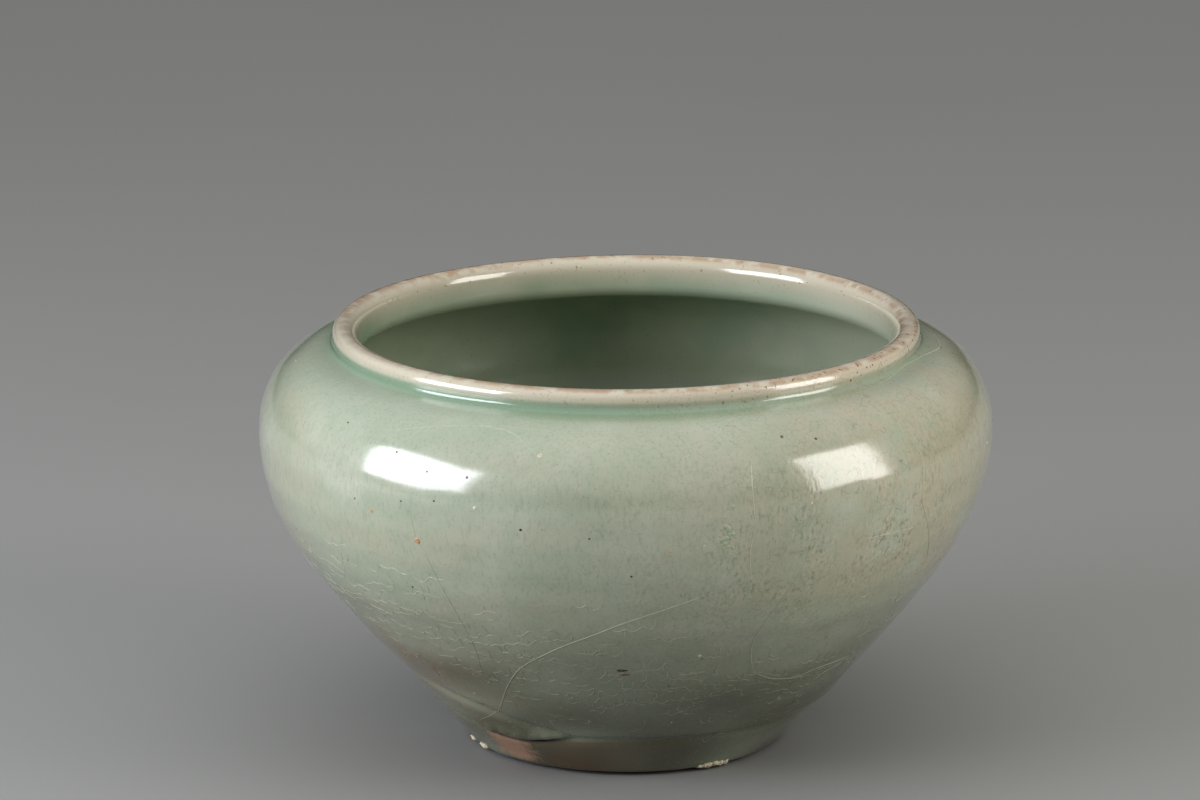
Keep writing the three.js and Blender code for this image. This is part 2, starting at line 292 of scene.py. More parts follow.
# Layers of colour, from the first to the last: the colour, its share, the masks that it keeps to, and the
# clouds of noise that it shows in: their size in millimetres, their detail, the noise's values where they
# start and are full, and how much flatter than round they are
OUTER_LAYERS = (
    (CELADON_PALE, 0.6, (), (38, 3, 0.4, 0.7)),
    (CELADON_GREEN, 0.35, ("green",), ()),
    (BEIGE, 0.75, ("beige",), (17, 5, 0.28, 0.56)),
    (CELADON_GREEN, 0.28, (), (5, 4, 0.35, 0.75)),
    (OLIVE_FLECKS_AND_SHADE, 0.1, (), (1.1, 3, 0.5, 0.68, 0.28)),
    # Painted shade, partly olive glaze: the lower wall darker all round
    (OLIVE_FLECKS_AND_SHADE, 0.85, ("olive_and_shade",), ()),
    (POOL_GREEN, 1, ("pool",), ()),
    (LIP_BEIGE, 0.75, ("lip",), ()),
    (CRACKLE_DARK, 0.35, ("crackle", "crackle_lines"), (9, 2, 0.45, 0.6)),
    (CRACKLE_DARK, 0.22, (), (0.7, 2, 0.62, 0.72)),
    (CELADON_PALE, 0.16, (), (1.1, 3, 0.6, 0.7)),
    (TAN_EDGE, 0.65, ("iron",), (6, 4, 0.36, 0.58)),
    (IRON_BROWN, 0.8, ("freckles",), (1.5, 2, 0.64, 0.7)),
    (VEIN, 0.35, ("scale_lines", "scale_drifts"), ()),
    (VEIN, 1, ("raised",), ()),
    (TOAST, 0.7, ("toast",), ()),
    (TAN_WALL, 1, ("tan",), (9, 4, 0.2, 0.7)),
    (CLAY_SALMON, 0.9, ("bare_clay",), ()),
    # Painted shade in the crevice
    (CREVICE_SHADE, 1, ("crevice",), ()),
    (LIP_BEIGE, 0.34, ("grainy", "grain_tops"), ()),
    (CRACKLE_DARK, 0.3, ("grainy", "grain_pits"), ()),
)
INNER_LAYERS = (
    (CELADON_GREEN, 1, (), (30, 3, 0.4, 0.7)),
    (CELADON_GREEN, 0.25, (), (6, 4, 0.35, 0.75)),
    # Deeper down: partly pooled glaze, partly painted shade
    (POOL_GREEN, 0.6, ("deep",), ()),
    # Painted light on the inside wall at the right
    (CELADON_PALE, 0.8, ("painted_light",), ()),
    (LIP_BEIGE, 0.75, ("lip",), ()),
    (CRACKLE_DARK, 0.25, (), (0.9, 2, 0.66, 0.74)),
    (TAN_EDGE, 0.65, ("iron",), (6, 4, 0.36, 0.58)),
    (TAN_EDGE, 0.6, ("stain",), (4, 4, 0.42, 0.62)),
    (IRON_BROWN, 0.5, ("lip",), (1.5, 2, 0.66, 0.72)),
)
CLAY_LAYERS = (
    (CLAY_GREY, 1, (), (14, 4, 0.4, 0.62)),
    (IRON_BROWN, 0.6, (), (0.8, 2, 0.6, 0.7)),
    (GRIT_CREAM, 0.5, (), (1.3, 2, 0.64, 0.7)),
)
GRIT_LAYERS = ((BEIGE, 0.7, (), (1.1, 3, 0.45, 0.65)),)
SPECK_LAYERS = ((CELADON, 0.4, (), (0.5, 2, 0.5, 0.65)),)
FLOOR_LAYERS = ((FLOOR_SHADE, 0.15, (), (400, 2, 0.4, 0.7)),)

# Fine patterns. Sizes and shakes are in millimetres. A noise is its size and detail, and a skin has a
# depth too
CRACKLE_SIZE = 4
CRACKLE_SHAKE = 0.9
CRACKLE_EDGE = (0.0, 0.03)  # how near the border of a cell its line is whole and gone, as shares of the cell
SCALE_SIZE = 7
SCALE_SHAKE = 2.0
SCALE_FLATNESS = 1.7
SCALE_EDGE = (0.0, 0.05)
SCALE_SLOPE = (0.0, 0.12)
SCALE_BELOW = (0.02, 0.2)  # how far below a scale's middle its lower half starts and is whole
SCALE_DEPTH = 0.04 * MM
SCALE_CLOUDS = (9, 3, 0.44, 0.58)
RAGGED_NOISE = (2.4, 5)
RAGGED_REACH = 1.2
BARE_EDGE = (0.2, 0.85)
BARE_ROOM = (0.04, 0.4)
GRAIN_NOISE = (1.3, 3, 0.6)  # with its flatness
GRAIN_CLOUDS = (14, 3, 0.35, 0.6)
GRAIN_TOPS = (0.56, 0.66)
GRAIN_PITS = (0.44, 0.36)
GRAIN_DEPTH = 0.13 * MM
SHAKING_DETAIL = 2
NOISE_MIDDLE = 0.5
OUTER_SKIN = (2.2, 2, 0.018 * MM)
BARE_SKIN = (0.6, 2, 0.1 * MM)
INNER_SKIN = (2.4, 2, 0.012 * MM)
CLAY_SKIN = (0.7, 3, 0.12 * MM)
GRIT_SKIN = (0.5, 3, 0.15 * MM)
MIX_SOCKETS = {"FLOAT": (2, 3, 0), "RGBA": (6, 7, 2)}  # the two values and the result

# Veins, crinkles and specks on the glaze. Places are pixels of the photograph, column and row. Pairs in the
# plural are ranges of random draws, with runs, lengths, widths and radii in millimetres
VEIN_SEED = 11
VEIN_WIDTH = 0.26 * MM  # half of it
VEIN_PALER = 0.3  # how much paler than the glaze beside them
CRINKLE_PALER = 0.18
VEIN_STEP = 1.2 * MM
VEIN_LOW = 14 * MM  # the lowest and highest that they run, along the face from the foot
VEIN_HIGH = 166 * MM
BACK_VEINS = 16
BACK_VEIN_AZIMUTHS = (math.radians(100), math.radians(260))
BACK_VEIN_RUNS = (50, 130)
BACK_VEIN_LENGTHS = (30, 90)
BACK_VEIN_STEEPNESS = 2.0
BACK_VEIN_SHARES = (0.7, 1.0)
WANDER_STEP = 4 * MM
WANDER_TURN = 0.22
WANDER_LEVEL = (0.3, 1)
WANDER_RETURN = 0.5
PATH_SOFTENING = 4
VEIN_SOFTENING = 14
FRAME_REACH = 0.2 * MM
RIDGE_SECTION = ((-1.0, -0.35), (-0.5, 0.32), (0.0, 0.6), (0.5, 0.32), (1.0, -0.35))
RIDGE_TIP = 0.15  # a line's width at its ends
RIDGE_FULLNESS = 2.5
VEINS = (  # their share of the width, and their corners
    (0.75, (408, 495), (418, 545), (427, 552), (441, 583), (455, 608), (466, 628), (477, 652), (487, 685)),
    (1, (500, 712), (505, 690), (520, 668), (560, 648), (620, 625), (665, 610), (720, 590)),
    (1, (751, 460), (752, 490), (756, 530), (751, 546), (750, 560), (753, 576)),
    (1, (815, 530), (808, 560), (790, 590), (760, 630), (752, 645), (750, 655), (753, 672)),
    (1, (753, 672), (770, 679), (795, 678), (815, 668), (850, 655)),
    (1, (920, 450), (921, 500), (929, 530), (927, 560)),
    (1, (880, 385), (905, 365), (925, 356), (943, 348), (937, 335)),
    (0.5, (866, 539), (890, 533), (915, 527)),
    (0.6, (479, 423), (512, 429), (537, 454)),
    (0.7, (508, 690), (498, 712), (477, 719)),
    (0.5, (383, 429), (448, 424), (505, 424), (567, 432), (615, 432), (663, 437)),
)
CRINKLE_SEED = 12
CRINKLE_WIDTH = 0.21 * MM
CRINKLE_SHARES = (0.6, 1.15)
CRINKLE_STEP = 0.5 * MM
CRINKLE_ROOM = 4 * MM
LOOP_SHARES = (0.15, 0.35, 0.5, 0.65, 0.85, 1.0)
LOOP_COUNTS = (1, 5)  # at least the first, and fewer than the second
LOOP_WIDTHS = (2.5, 7.5)
LOOP_HANGS = (0.05, 0.5)  # as shares of the width
LOOP_RISE = 0.2
SPUR_CHANCE = 0.5
SPUR_WAYS = (-1, 1, 1)
SPUR_LENGTHS = (1.5, 5.0)
SPUR_SWAYS = (-0.5, 0.5)  # as shares of the length
CRINKLE_ROW = 4.0 * MM  # from one row of crinkles to the next
CRINKLE_ROW_SPREAD = 1.3 * MM
CRINKLE_GAP = 3 * MM
CRINKLE_GAPS = (0, 2)  # in gaps
CRINKLE_TOP = 112 * MM
# Drifts of crinkles: azimuth and its spread in degrees, height and its spread in millimetres, and the share
# of the places there that hold one
CRINKLE_DRIFTS = (
    (-58, 18, 74, 16, 0.9),
    (-40, 15, 60, 17, 0.95),
    (-20, 17, 53, 16, 0.9),
    (0, 16, 46, 13, 0.7),
    (20, 13, 42, 12, 0.85),
    (36, 13, 38, 11, 0.85),
    (52, 12, 66, 16, 0.35),
    (140, 34, 56, 18, 0.45),
    (-140, 34, 52, 18, 0.45),
)
SPECK_SEED = 13
SPECK_SIDES = 10
SPECK_LIFT = 0.22
SPECK_SINK = 0.3
SPECK_RINGS = ((1.0, -0.3), (0.85, 0.5), (0.5, 1.0), (0.2, 1.0))  # reach and rise; the last one may sink in
SPECK_HOLLOWS = (0, 1.2)
SPECK_LOBES = 3
SPECK_LOBE_DEPTH = 0.12
SPECK_LOBE_TURN = 40
SPECK_STRETCH = {"hollow": 2.6, "umber": 3.2}  # how much wider than tall these are
CRUMBS_AT = (727, 534)  # a crumbly patch of glaze, with its reach in pixels
CRUMBS_REACH = (3.5, 9)
CRUMBS = 26
CRUMB_RADII = (0.4, 1.0)
SCATTERED_SPECKS = 90
SCATTERED_RADII = (0.18, 0.45)
SCATTERED_KINDS = ("rust", "white", "dark", "dark", "brown")
SPECK_COLOURS = {
    "rust": srgb(196, 156, 120),
    "umber": srgb(126, 104, 88),
    "white": srgb(214, 210, 190),
    "dark": srgb(84, 78, 62),
    # Painted shadow for a pit
    "hollow": srgb(66, 58, 48),
    "green": srgb(178, 187, 162),
    "brown": srgb(112, 84, 58),
}
# The specks that the front shows: column, row, radius in millimetres and colour
SPECKS = (
    (304, 424, 0.5, "rust"),
    (418, 541, 1.2, "rust"),
    (540, 455, 0.9, "white"),
    (397, 451, 0.4, "dark"),
    (427, 471, 0.4, "dark"),
    (467, 477, 0.5, "dark"),
    (434, 501, 0.4, "dark"),
    (401, 501, 0.4, "dark"),
    (475, 508, 0.7, "white"),
    (521, 530, 0.5, "dark"),
    (816, 439, 0.5, "dark"),
    (372, 511, 0.7, "rust"),
    (782, 437, 0.6, "brown"),
    (590, 539, 0.4, "dark"),
    (624, 675, 0.65, "umber"),
    # A pit, painted with its shadow above its salmon lower edge
    (622, 671, 0.75, "hollow"),
    (700, 656, 0.7, "white"),
    (943, 348, 0.6, "dark"),
)

# Kiln grit on the foot's bevel: azimuth in degrees, large crumbs, their radius and their spacing. The pairs
# are ranges, as shares of that radius
GRIT_SEED = 20
GRIT_ALONG_BEVEL = 0.7
GRIT_LIFT = 0.05 * MM
GRIT_PATCHES = {
    "kiln_grit_right": (32, 5, 1.9 * MM, 2.4 * MM),
    "kiln_grit_left": (-60, 2, 1.7 * MM, 2.2 * MM),
    "kiln_grit_far_left": (-70, 2, 1.5 * MM, 1.6 * MM),
}
GRIT_KINDS = 3  # one large crumb to each two small ones
GRIT_LARGE = (0.9, 1.1)
GRIT_SMALL = (0.3, 0.6)
GRIT_REACHES = (0.8, 1.2)
GRIT_HEIGHTS = (0.2, 0.5)
GRIT_SHAPE = (1.15, 0.95, 0.8)
GRIT_FINENESS = 3
GRIT_DENTS = (0.16, 5, 4)  # depth, and waves across two ways
GRIT_RIPPLES = (0.1, 9, 7)


def bump(distance, width):
    """1 at the distance 0, dying away over a width."""
    return np.exp(-((distance / width) ** 2))


def smooth_step(value, start, end):
    """0 up to start and 1 from end on, with a soft change between."""
    share = np.clip((value - start) / (end - start), 0, 1)
    return share * share * (3 - 2 * share)


def arch(share):
    """0 at both ends and 1 in the middle."""
    return 4 * share * (1 - share)


def waves(azimuth, height, seed, turns, pitch, count=WAVE_COUNT):
    """A seamless random field round the wall, mostly between -1 and 1."""
    random = np.random.default_rng(seed)
    total = np.zeros_like(azimuth * height)
    for _ in range(count):
        around = random.integers(-turns, turns + 1)
        along = random.uniform(-1, 1) * TURN / pitch
        total += np.cos(around * azimuth + along * height + random.uniform(0, TURN))
    return total / math.sqrt(count)


# Profiles. A profile that is revolved has rows of radius, height, share and under. The share says how far a
# point follows the relief of the face beside it, and under is 1 where it lies under the coat of glaze


def stretch(points, share=1.0, under=0.0):
    points = np.atleast_2d(points)
    return np.column_stack([points, np.full(len(points), share), np.full(len(points), under)])


def lengths_of(points):
    return np.hypot(*np.diff(points[:, :2], axis=0).T)


def runs_of(lengths):
    """How far along a line each of its points lies."""
    return np.concatenate([[0], np.cumsum(lengths)])


def between_rows(at, known, rows):
    """Rows of values at places between the known ones."""
    return np.column_stack([np.interp(at, known, column) for column in rows.T])


def joined(*stretches):
    """Stretches of profile end to end, without repeated points."""
    points = np.vstack(stretches)
    return points[np.concatenate([[True], lengths_of(points) > SAME_POINT])]


def bezier(*knots):
    """A Bezier curve of any degree."""
    share = np.linspace(0, 1, CURVE_POINTS)[:, None]
    points = [np.array(knot, float) for knot in knots]
    while len(points) > 1:
        points = [a + (b - a) * share for a, b in zip(points, points[1:])]
    return points[0]


def arc(centre, radius, start, end):
    angles = np.radians(np.linspace(start, end, ARC_POINTS))
    return np.array(centre) + radius * np.column_stack([np.cos(angles), np.sin(angles)])


def squared_arc(centre, radius):
    """A quarter turn from the widest point up to the top, fuller than a circle's."""
    turn = np.linspace(0, math.pi / 2, ARC_POINTS)
    share = 2 / LIP_SQUARENESS
    return np.array(centre) + radius * np.column_stack([np.cos(turn).clip(0) ** share, np.sin(turn) ** share])


def offset(profile, distance):
    """A line of points moved to the right of its direction of travel."""
    travel = np.gradient(profile, axis=0)
    travel /= np.hypot(*travel.T)[:, None]
    right = np.column_stack([travel[:, 1], -travel[:, 0]])
    return profile + right * np.reshape(distance, (-1, 1))


def resampled(profile, rows, weight=None):
    """The profile in so many steps, which are shorter where the weight is larger."""
    steps = lengths_of(profile)
    middles = (profile[1:] + profile[:-1]) / 2
    run = runs_of(steps if weight is None else steps * weight(middles))
    return between_rows(np.linspace(0, run[-1], rows + 1), run, profile)


def in_steps(profile, step):
    return resampled(profile, max(2, round(lengths_of(profile).sum() / step)))


def averaged(points, passes):
    """The points drawn towards their neighbours so many times, with the ends kept."""
    soft = points.copy()
    for _ in range(passes):
        soft[1:-1] = (soft[:-2] + 2 * soft[1:-1] + soft[2:]) / 4
    return soft


def softened(profile):
    """The profile in short even steps with its corners rounded off."""
    return averaged(in_steps(profile, PROFILE_STEP), SOFTENING_PASSES)


# The clay's outline, as in the model
neck_radius = MOUTH_RADIUS - NECK_UNDERCUT
neck_foot = BELLY_HEIGHT + SHOULDER_RISE
bevel_top = (FOOT_RADIUS + FOOT_BEVEL_WIDTH, FOOT_BEVEL_HEIGHT)
belly = (BELLY_RADIUS, BELLY_HEIGHT)
shoulder_end = (neck_radius + NECK_FILLET, neck_foot)
lower_rise = BELLY_HEIGHT - FOOT_BEVEL_HEIGHT
flare_reach = FLARE_REACH * lower_rise
flare_handle = (
    bevel_top[0] + flare_reach * math.sin(FLARE_ANGLE),
    bevel_top[1] + flare_reach * math.cos(FLARE_ANGLE),
)
belly_ease = (BELLY_RADIUS, BELLY_HEIGHT - BELLY_EASE_BELOW * lower_rise)
lower_wall = bezier(bevel_top, flare_handle, belly_ease, belly)
shoulder_reach = SHOULDER_REACH * SHOULDER_RISE
shoulder_handle = (
    shoulder_end[0] + shoulder_reach * math.cos(SHOULDER_FALL),
    shoulder_end[1] - shoulder_reach * math.sin(SHOULDER_FALL),
)
belly_handle = (BELLY_RADIUS, BELLY_HEIGHT + BELLY_EASE_ABOVE * SHOULDER_RISE)
upper_wall = bezier(belly, belly_handle, shoulder_handle, shoulder_end)
base_wall = lower_wall[lower_wall[:, 1] <= BASE_SEAM_HEIGHT]
flare_wall = lower_wall[lower_wall[:, 1] >= base_wall[-1][1]]
base_inner, flare_inner, upper_inner = (offset(part, -WALL) for part in (base_wall, flare_wall, upper_wall))
lip_middle = neck_foot + NECK_FILLET + LIP_SLOPE_HEIGHT
lip_centre = (MOUTH_RADIUS - LIP_ROLL_RADIUS, lip_middle)
neck_fillet = arc((shoulder_end[0], neck_foot + NECK_FILLET), NECK_FILLET, 270, 180)
lip_outer = squared_arc(lip_centre, LIP_ROLL_RADIUS)
lip_inner = arc(lip_centre, LIP_ROLL_RADIUS, 90, 180)
lip_crest = lip_outer[-1][1]
corner_height = upper_inner[-1][1] + NECK_CORNER_RADIUS
corner_centre = (lip_centre[0] - LIP_ROLL_RADIUS + NECK_CORNER_RADIUS, corner_height)
neck_corner = arc(corner_centre, NECK_CORNER_RADIUS, 180, 270)
floor_height = FOOT_RECESS + BASE_THICKNESS
fillet_top = base_inner[-1]
fillet_knee = fillet_top[0] - (fillet_top[1] - floor_height) * math.tan(FLARE_ANGLE)
floor_fillet = bezier(fillet_top, (fillet_knee, floor_height), (fillet_knee - FLOOR_FILLET_RUN, floor_height))
glazed_outside = np.vstack([lower_wall, upper_wall[1:], neck_fillet[1:], lip_outer])
glazed_inside = np.vstack([lip_inner, neck_corner, upper_inner[::-1], flare_inner[-2::-1], floor_fillet[1:]])


def glaze_thickness(height, below):
    """Thinner from the middle of the lip up to its crest, and as given below that."""
    on_lip = np.interp(height, (lip_middle, lip_crest), (GLAZE, GLAZE_ON_CREST))
    return np.where(height < lip_middle, below, on_lip)


def outer_glaze_face():
    """The coat ends above the foot in a rounded roll, and is pooled in the angle under the lip."""
    radius, height = glazed_outside.T
    roll = (GLAZE_ROLL_AT_FOOT - GLAZE) * bump(height - FOOT_BEVEL_HEIGHT, FOOT_BEVEL_HEIGHT)
    from_neck = np.hypot(radius - neck_radius, height - neck_foot)
    pool = (GLAZE_POOL_AT_NECK - GLAZE) * bump(from_neck, 2 * NECK_FILLET)
    face = softened(offset(glazed_outside, glaze_thickness(height, GLAZE + roll + pool)))
    into_cove = bump(np.hypot(face[:, 0] - neck_radius, face[:, 1] - neck_foot - NECK_FILLET / 2), COVE_REACH)
    return face + (averaged(face, COVE_PASSES) - face) * into_cove[:, None]


def inner_glaze_face():
    """The coat runs from the crest down to the middle of the floor, where it is pooled."""
    height = glazed_inside[:, 1]
    pool = (GLAZE_POOL_ON_FLOOR - GLAZE) * bump(height - floor_height, BASE_THICKNESS)
    face = softened(offset(glazed_inside, glaze_thickness(height, GLAZE + pool)))
    return np.vstack([face, (0, face[-1][1])])


outer_face = outer_glaze_face()
inner_face = inner_glaze_face()
face_slope = np.gradient(outer_face, axis=0)
face_heights = np.maximum.accumulate(outer_face[:, 1])
face_runs = runs_of(lengths_of(outer_face))


def outward_at(height):
    """The outer face's normal at a height, as its radial and its upward share."""
    radial = np.interp(height, face_heights, face_slope[:, 1])
    upward = np.interp(height, face_heights, -face_slope[:, 0])
    length = np.hypot(radial, upward)
    return radial / length, upward / length


# Relief


def seam_height(azimuth):
    """The height of the seam of the base, which dips at the left of the front."""
    dip = SEAM_DIP * bump(azimuth - SEAM_DIP_AT, SEAM_DIP_SPREAD)
    waver = SEAM_WAVER * waves(azimuth, 0.0, *SEAM_WAVES)
    return SEAM_HEIGHT + SEAM_RISE * np.sin(azimuth) - dip + waver


def crevice_share(azimuth):
    """Where the seam gapes open: 1 at the left of the front, dying away towards the middle."""
    opens = smooth_step(azimuth, CREVICE_FROM, CREVICE_FROM + CREVICE_SOFTNESS)
    return opens * (1 - smooth_step(azimuth, CREVICE_TO, CREVICE_END))


def crevice_brow(azimuth, height):
    """The lumpy roll of glaze over the crevice."""
    lumps = 1 + LUMP_HEIGHT * waves(azimuth, height, *LUMP_WAVES)
    return CREVICE_BROW * lumps * bump(height - seam_height(azimuth) - LUMP_WIDTH, LUMP_WIDTH)


def behind_crevice(azimuth, height):
    """How much further back the clay and the coat's back lie round the crevice."""
    from_seam = height - seam_height(azimuth)
    wide = bump(from_seam, ROOM_BEHIND * CREVICE_WIDTH)
    hollow = CREVICE_DEPTH * (wide - bump(from_seam, CREVICE_WIDTH)) + GLAZE / 2 * wide
    return crevice_share(azimuth) * (crevice_brow(azimuth, height) + hollow)


def climbing_groove(azimuth, height):
    """A shallow groove that leaves the seam at the front and climbs to the left, from 0 to 1."""
    climb = CLIMB_RISE * smooth_step(-azimuth, -CLIMB_START, -CLIMB_END)
    starts = smooth_step(-azimuth, -CLIMB_START, -CLIMB_DEEP)
    ends = smooth_step(-azimuth, -CLIMB_END, -CLIMB_FADE)
    return starts * (1 - ends) * bump(height - SEAM_HEIGHT - climb, CLIMB_WIDTH)


def outside_relief(azimuth, height):
    """How far the outside stands proud of the true revolve."""
    body = BODY_UNEVENNESS * waves(azimuth, height, *BODY_WAVES)
    skin = SKIN_UNEVENNESS * waves(azimuth, height, *SKIN_WAVES)
    drift = RING_DRIFT * RING_PITCH * waves(azimuth, height, *DRIFT_WAVES)
    on_wall = smooth_step(height, *RINGS_START) * (1 - smooth_step(height, *RINGS_END))
    rings = RING_DEPTH * on_wall * np.cos(TURN * (height + drift) / RING_PITCH)
    for groove_height, depth, width in WAIST_GROOVES:
        rings = rings - depth * bump(height + WAIST_DRIFT * drift - groove_height, width)
    from_seam = height - seam_height(azimuth)
    gape = crevice_share(azimuth)
    brow = SEAM_BROW * bump(from_seam - SEAM_BROW_ABOVE * SEAM_WIDTH, SEAM_WIDTH)
    groove = brow - SEAM_DEPTH * bump(from_seam, SEAM_WIDTH)
    crevice = gape * (crevice_brow(azimuth, height) - CREVICE_DEPTH * bump(from_seam, CREVICE_WIDTH))
    at_rim = smooth_step(height, neck_foot - RIM_FADE, neck_foot)
    above_foot = smooth_step(height, 0.0, FOOT_BEVEL_HEIGHT)
    grooves = groove * (1 - GROOVE_LOST * gape) - CLIMB_DEPTH * climbing_groove(azimuth, height) + crevice
    return (body + skin + rings) * (1 - at_rim) * above_foot + grooves


def inside_relief(azimuth, height):
    """Throwing rings inside, which climb as a screw does."""
    climb = INSIDE_RING_PITCH * azimuth / TURN
    rings = INSIDE_RING_DEPTH * np.cos(TURN * (height + climb) / INSIDE_RING_PITCH)
    uneven = INSIDE_UNEVENNESS * waves(azimuth, height, *INSIDE_WAVES)
    below_neck = 1 - smooth_step(height, neck_foot - INSIDE_FADE_AT_NECK, neck_foot)
    above_floor = smooth_step(height, *(floor_height + above for above in INSIDE_FADE_AT_FLOOR))
    return (rings + uneven) * below_neck * above_floor


def out_of_true(points):
    """Leans and tilts points of the jar as the fired jar does."""
    x, y, z = points.T
    azimuth = np.arctan2(x, -y)
    lean = sum(reach * bump(z - height, spread) for reach, height, spread in LEANS)
    at_rim = smooth_step(z, *RIM_TILT_ZONE)
    tilt = x * math.tan(RIM_TILT) * at_rim
    waver = RIM_WAVER * at_rim * waves(azimuth, 0.0, *RIM_WAVES)
    return np.column_stack([x + lean, y, z + tilt + waver])


# Meshes


def put(radius, height, share, azimuth, relief=outside_relief, under=0.0):
    """Points as fired, from where they lie on the true revolve and their shares of the relief."""
    azimuth = (azimuth + math.pi) % TURN - math.pi
    radial, upward = outward_at(height)
    proud = share * relief(azimuth, height) - under * behind_crevice(azimuth, height)
    radius = radius + proud * radial
    height = height + proud * upward
    points = np.broadcast_arrays(radius * np.sin(azimuth), -radius * np.cos(azimuth), height)
    return out_of_true(np.stack(points, axis=-1).reshape(-1, 3))


def ring_faces(rings, sides, closed=False, first=0):
    """The faces between rings of points, and from the last to the first where they close."""
    row = np.arange(rings if closed else rings - 1)[:, None]
    next_row = (row + 1) % rings
    column = np.arange(sides)
    after = (column + 1) % sides
    corners = [(row, column), (row, after), (next_row, after), (next_row, column)]
    return np.stack([first + r * sides + c for r, c in corners], axis=-1).reshape(-1, 4).tolist()


def mesh_of(name, points, faces):
    mesh = bpy.data.meshes.new(name)
    mesh.from_pydata(points, [], faces)
    return mesh


def mesh_of_parts(name, parts):
    """One mesh of many parts, each given by its points and faces."""
    points, faces = [], []
    for part_points, part_faces in parts:
        start = len(points)
        faces.extend(tuple(start + corner for corner in face) for face in part_faces)
        points.extend(part_points.tolist())
    return mesh_of(name, points, faces)


def revolved(name, profile, columns=CLAY_COLUMNS, closed=True, relief=outside_relief):
    """A closed mesh of revolution, as fired."""
    even = np.arange(columns) * TURN / columns - math.pi
    azimuth = (even - COLUMN_CROWDING * np.sin(even))[None, :]
    radius, height, share, under = (column[:, None] for column in profile.T)
    points = put(radius, height, share, azimuth, relief, under)
    mesh = mesh_of(name, points.tolist(), ring_faces(len(profile), columns, closed))
    merge(mesh, np.repeat(profile[:, 0] == 0, columns))
    return shown(name, mesh)


def merge(mesh, chosen):
    """Makes one point of chosen points that lie on one another."""
    shaped = bmesh.new()
    shaped.from_mesh(mesh)
    shaped.verts.ensure_lookup_table()
    doubles = [shaped.verts[i] for i in np.flatnonzero(chosen)]
    bmesh.ops.remove_doubles(shaped, verts=doubles, dist=SAME_POINT)
    shaped.to_mesh(mesh)
    shaped.free()


def placed(name, data):
    """A new object of the scene."""
    made = bpy.data.objects.new(name, data)
    bpy.context.scene.collection.objects.link(made)
    return made


def shown(name, mesh):
    """A smooth-shaded piece that rides with the jar."""
    mesh.shade_smooth()
    mesh.set_sharp_from_angle(angle=SHARP_EDGE)
    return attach(placed(name, mesh), "root")


def places(piece):
    """The azimuth and height of each point of a piece."""
    points = np.empty(3 * len(piece.data.vertices))
    piece.data.vertices.foreach_get("co", points)
    x, y, z = points.reshape(-1, 3).T
    return np.arctan2(x, -y), z


def within(values, kind, low, high):
    """Where values lie above, below or near others, from 0 to 1."""
    if kind == "near":
        return bump(values - low, high)
    share = smooth_step(values, low, high)
    return share if kind == "above" else 1 - share


def mark(piece, marks):
    """Keeps marks from 0 to 1 at each point of a piece, for its material to read."""
    azimuth, height = places(piece)
    fields = {
        "all": 1.0,
        "turn": np.degrees(azimuth),
        "sideways": np.sin(azimuth),
        "height": height / MM,
        "over_seam": (height - seam_height(azimuth)) / MM,
        "gape": crevice_share(azimuth),
        "stains": waves(azimuth, height, *STAIN_WAVES),
    }
    for name, parts in marks.items():
        total = np.zeros_like(height)
        for share, *factors in parts:
            for field, *span in factors:
                share = share * (within(fields[field], *span) if span else fields[field])
            total += share
        attribute = piece.data.attributes.new(name, "FLOAT", "POINT")
        attribute.data.foreach_set("value", np.clip(total, 0, 1).astype(np.float32))


# The clay sections


def luted_edge(outer, inner):
    """The edge between two sections, from outside to inside over the tongue's tip."""
    across = (inner - outer) / np.hypot(*(inner - outer))
    tip = (outer + inner) / 2 + TONGUE_HEIGHT * np.array([across[1], -across[0]])
    return np.vstack([stretch(outer, under=1.0), stretch(tip, 0.5, 0.5), stretch(inner, 0.0)])


base_edge = luted_edge(base_wall[-1], base_inner[-1])
belly_edge = luted_edge(flare_wall[-1], flare_inner[-1])
neck_edge = luted_edge(upper_wall[-1], upper_inner[-1])


def make_base():
    """The base: its foot ring round a turned recess, the start of the wall, and the floor."""
    ring_inner = FOOT_RADIUS - FOOT_RING_WIDTH
    recess_end = (ring_inner - FOOT_RECESS_DRAFT, FOOT_RECESS)
    recess = in_steps(np.array([(0, FOOT_RECESS), recess_end]), TURNING_STEP)
    marks = TURNING_MARK * (1 - np.cos(TURN * recess[:, 0] / TURNING_PITCH))
    recess[:, 1] += marks * smooth_step(ring_inner - recess[:, 0], *TURNING_FADE)
    ring = softened(np.array([recess[-1], (ring_inner, 0), (FOOT_RADIUS, 0), bevel_top]))
    ring[:, 1] = np.maximum(ring[:, 1], 0)
    outside = stretch(in_steps(base_wall, CLAY_STEP / 2), under=1.0)
    inside = stretch(np.vstack([in_steps(floor_fillet, CLAY_STEP), (0, floor_height)]), 0.0)
    profile = joined(stretch(recess, 0.0), stretch(ring, 0.0), outside, base_edge, inside)
    piece = revolved("base_clay", profile, closed=False)
    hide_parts("base_section")
    return piece


def make_belly():
    outside = stretch(in_steps(flare_wall, CLAY_STEP), under=1.0)
    inside = stretch(in_steps(flare_inner, CLAY_STEP)[::-1], 0.0)
    piece = revolved("belly_clay", joined(outside, belly_edge, inside, base_edge[1]))
    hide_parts("belly_section")
    return piece


def make_shoulder():
    outside = stretch(in_steps(upper_wall, CLAY_STEP))
    inside = stretch(in_steps(upper_inner, CLAY_STEP)[::-1], 0.0)
    piece = revolved("shoulder_clay", joined(outside, neck_edge, inside, belly_edge[1]))
    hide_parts("shoulder_section")
    return piece


def make_rim():
    outside = stretch(in_steps(np.vstack([neck_fillet, lip_outer]), CLAY_STEP / 2))
    inside = stretch(in_steps(np.vstack([lip_inner, neck_corner]), CLAY_STEP / 2), 0.0)
    piece = revolved("rim_clay", joined(outside, inside, neck_edge[2], neck_edge[1]))
    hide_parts("rim_roll")
    return piece


# The coats of glaze


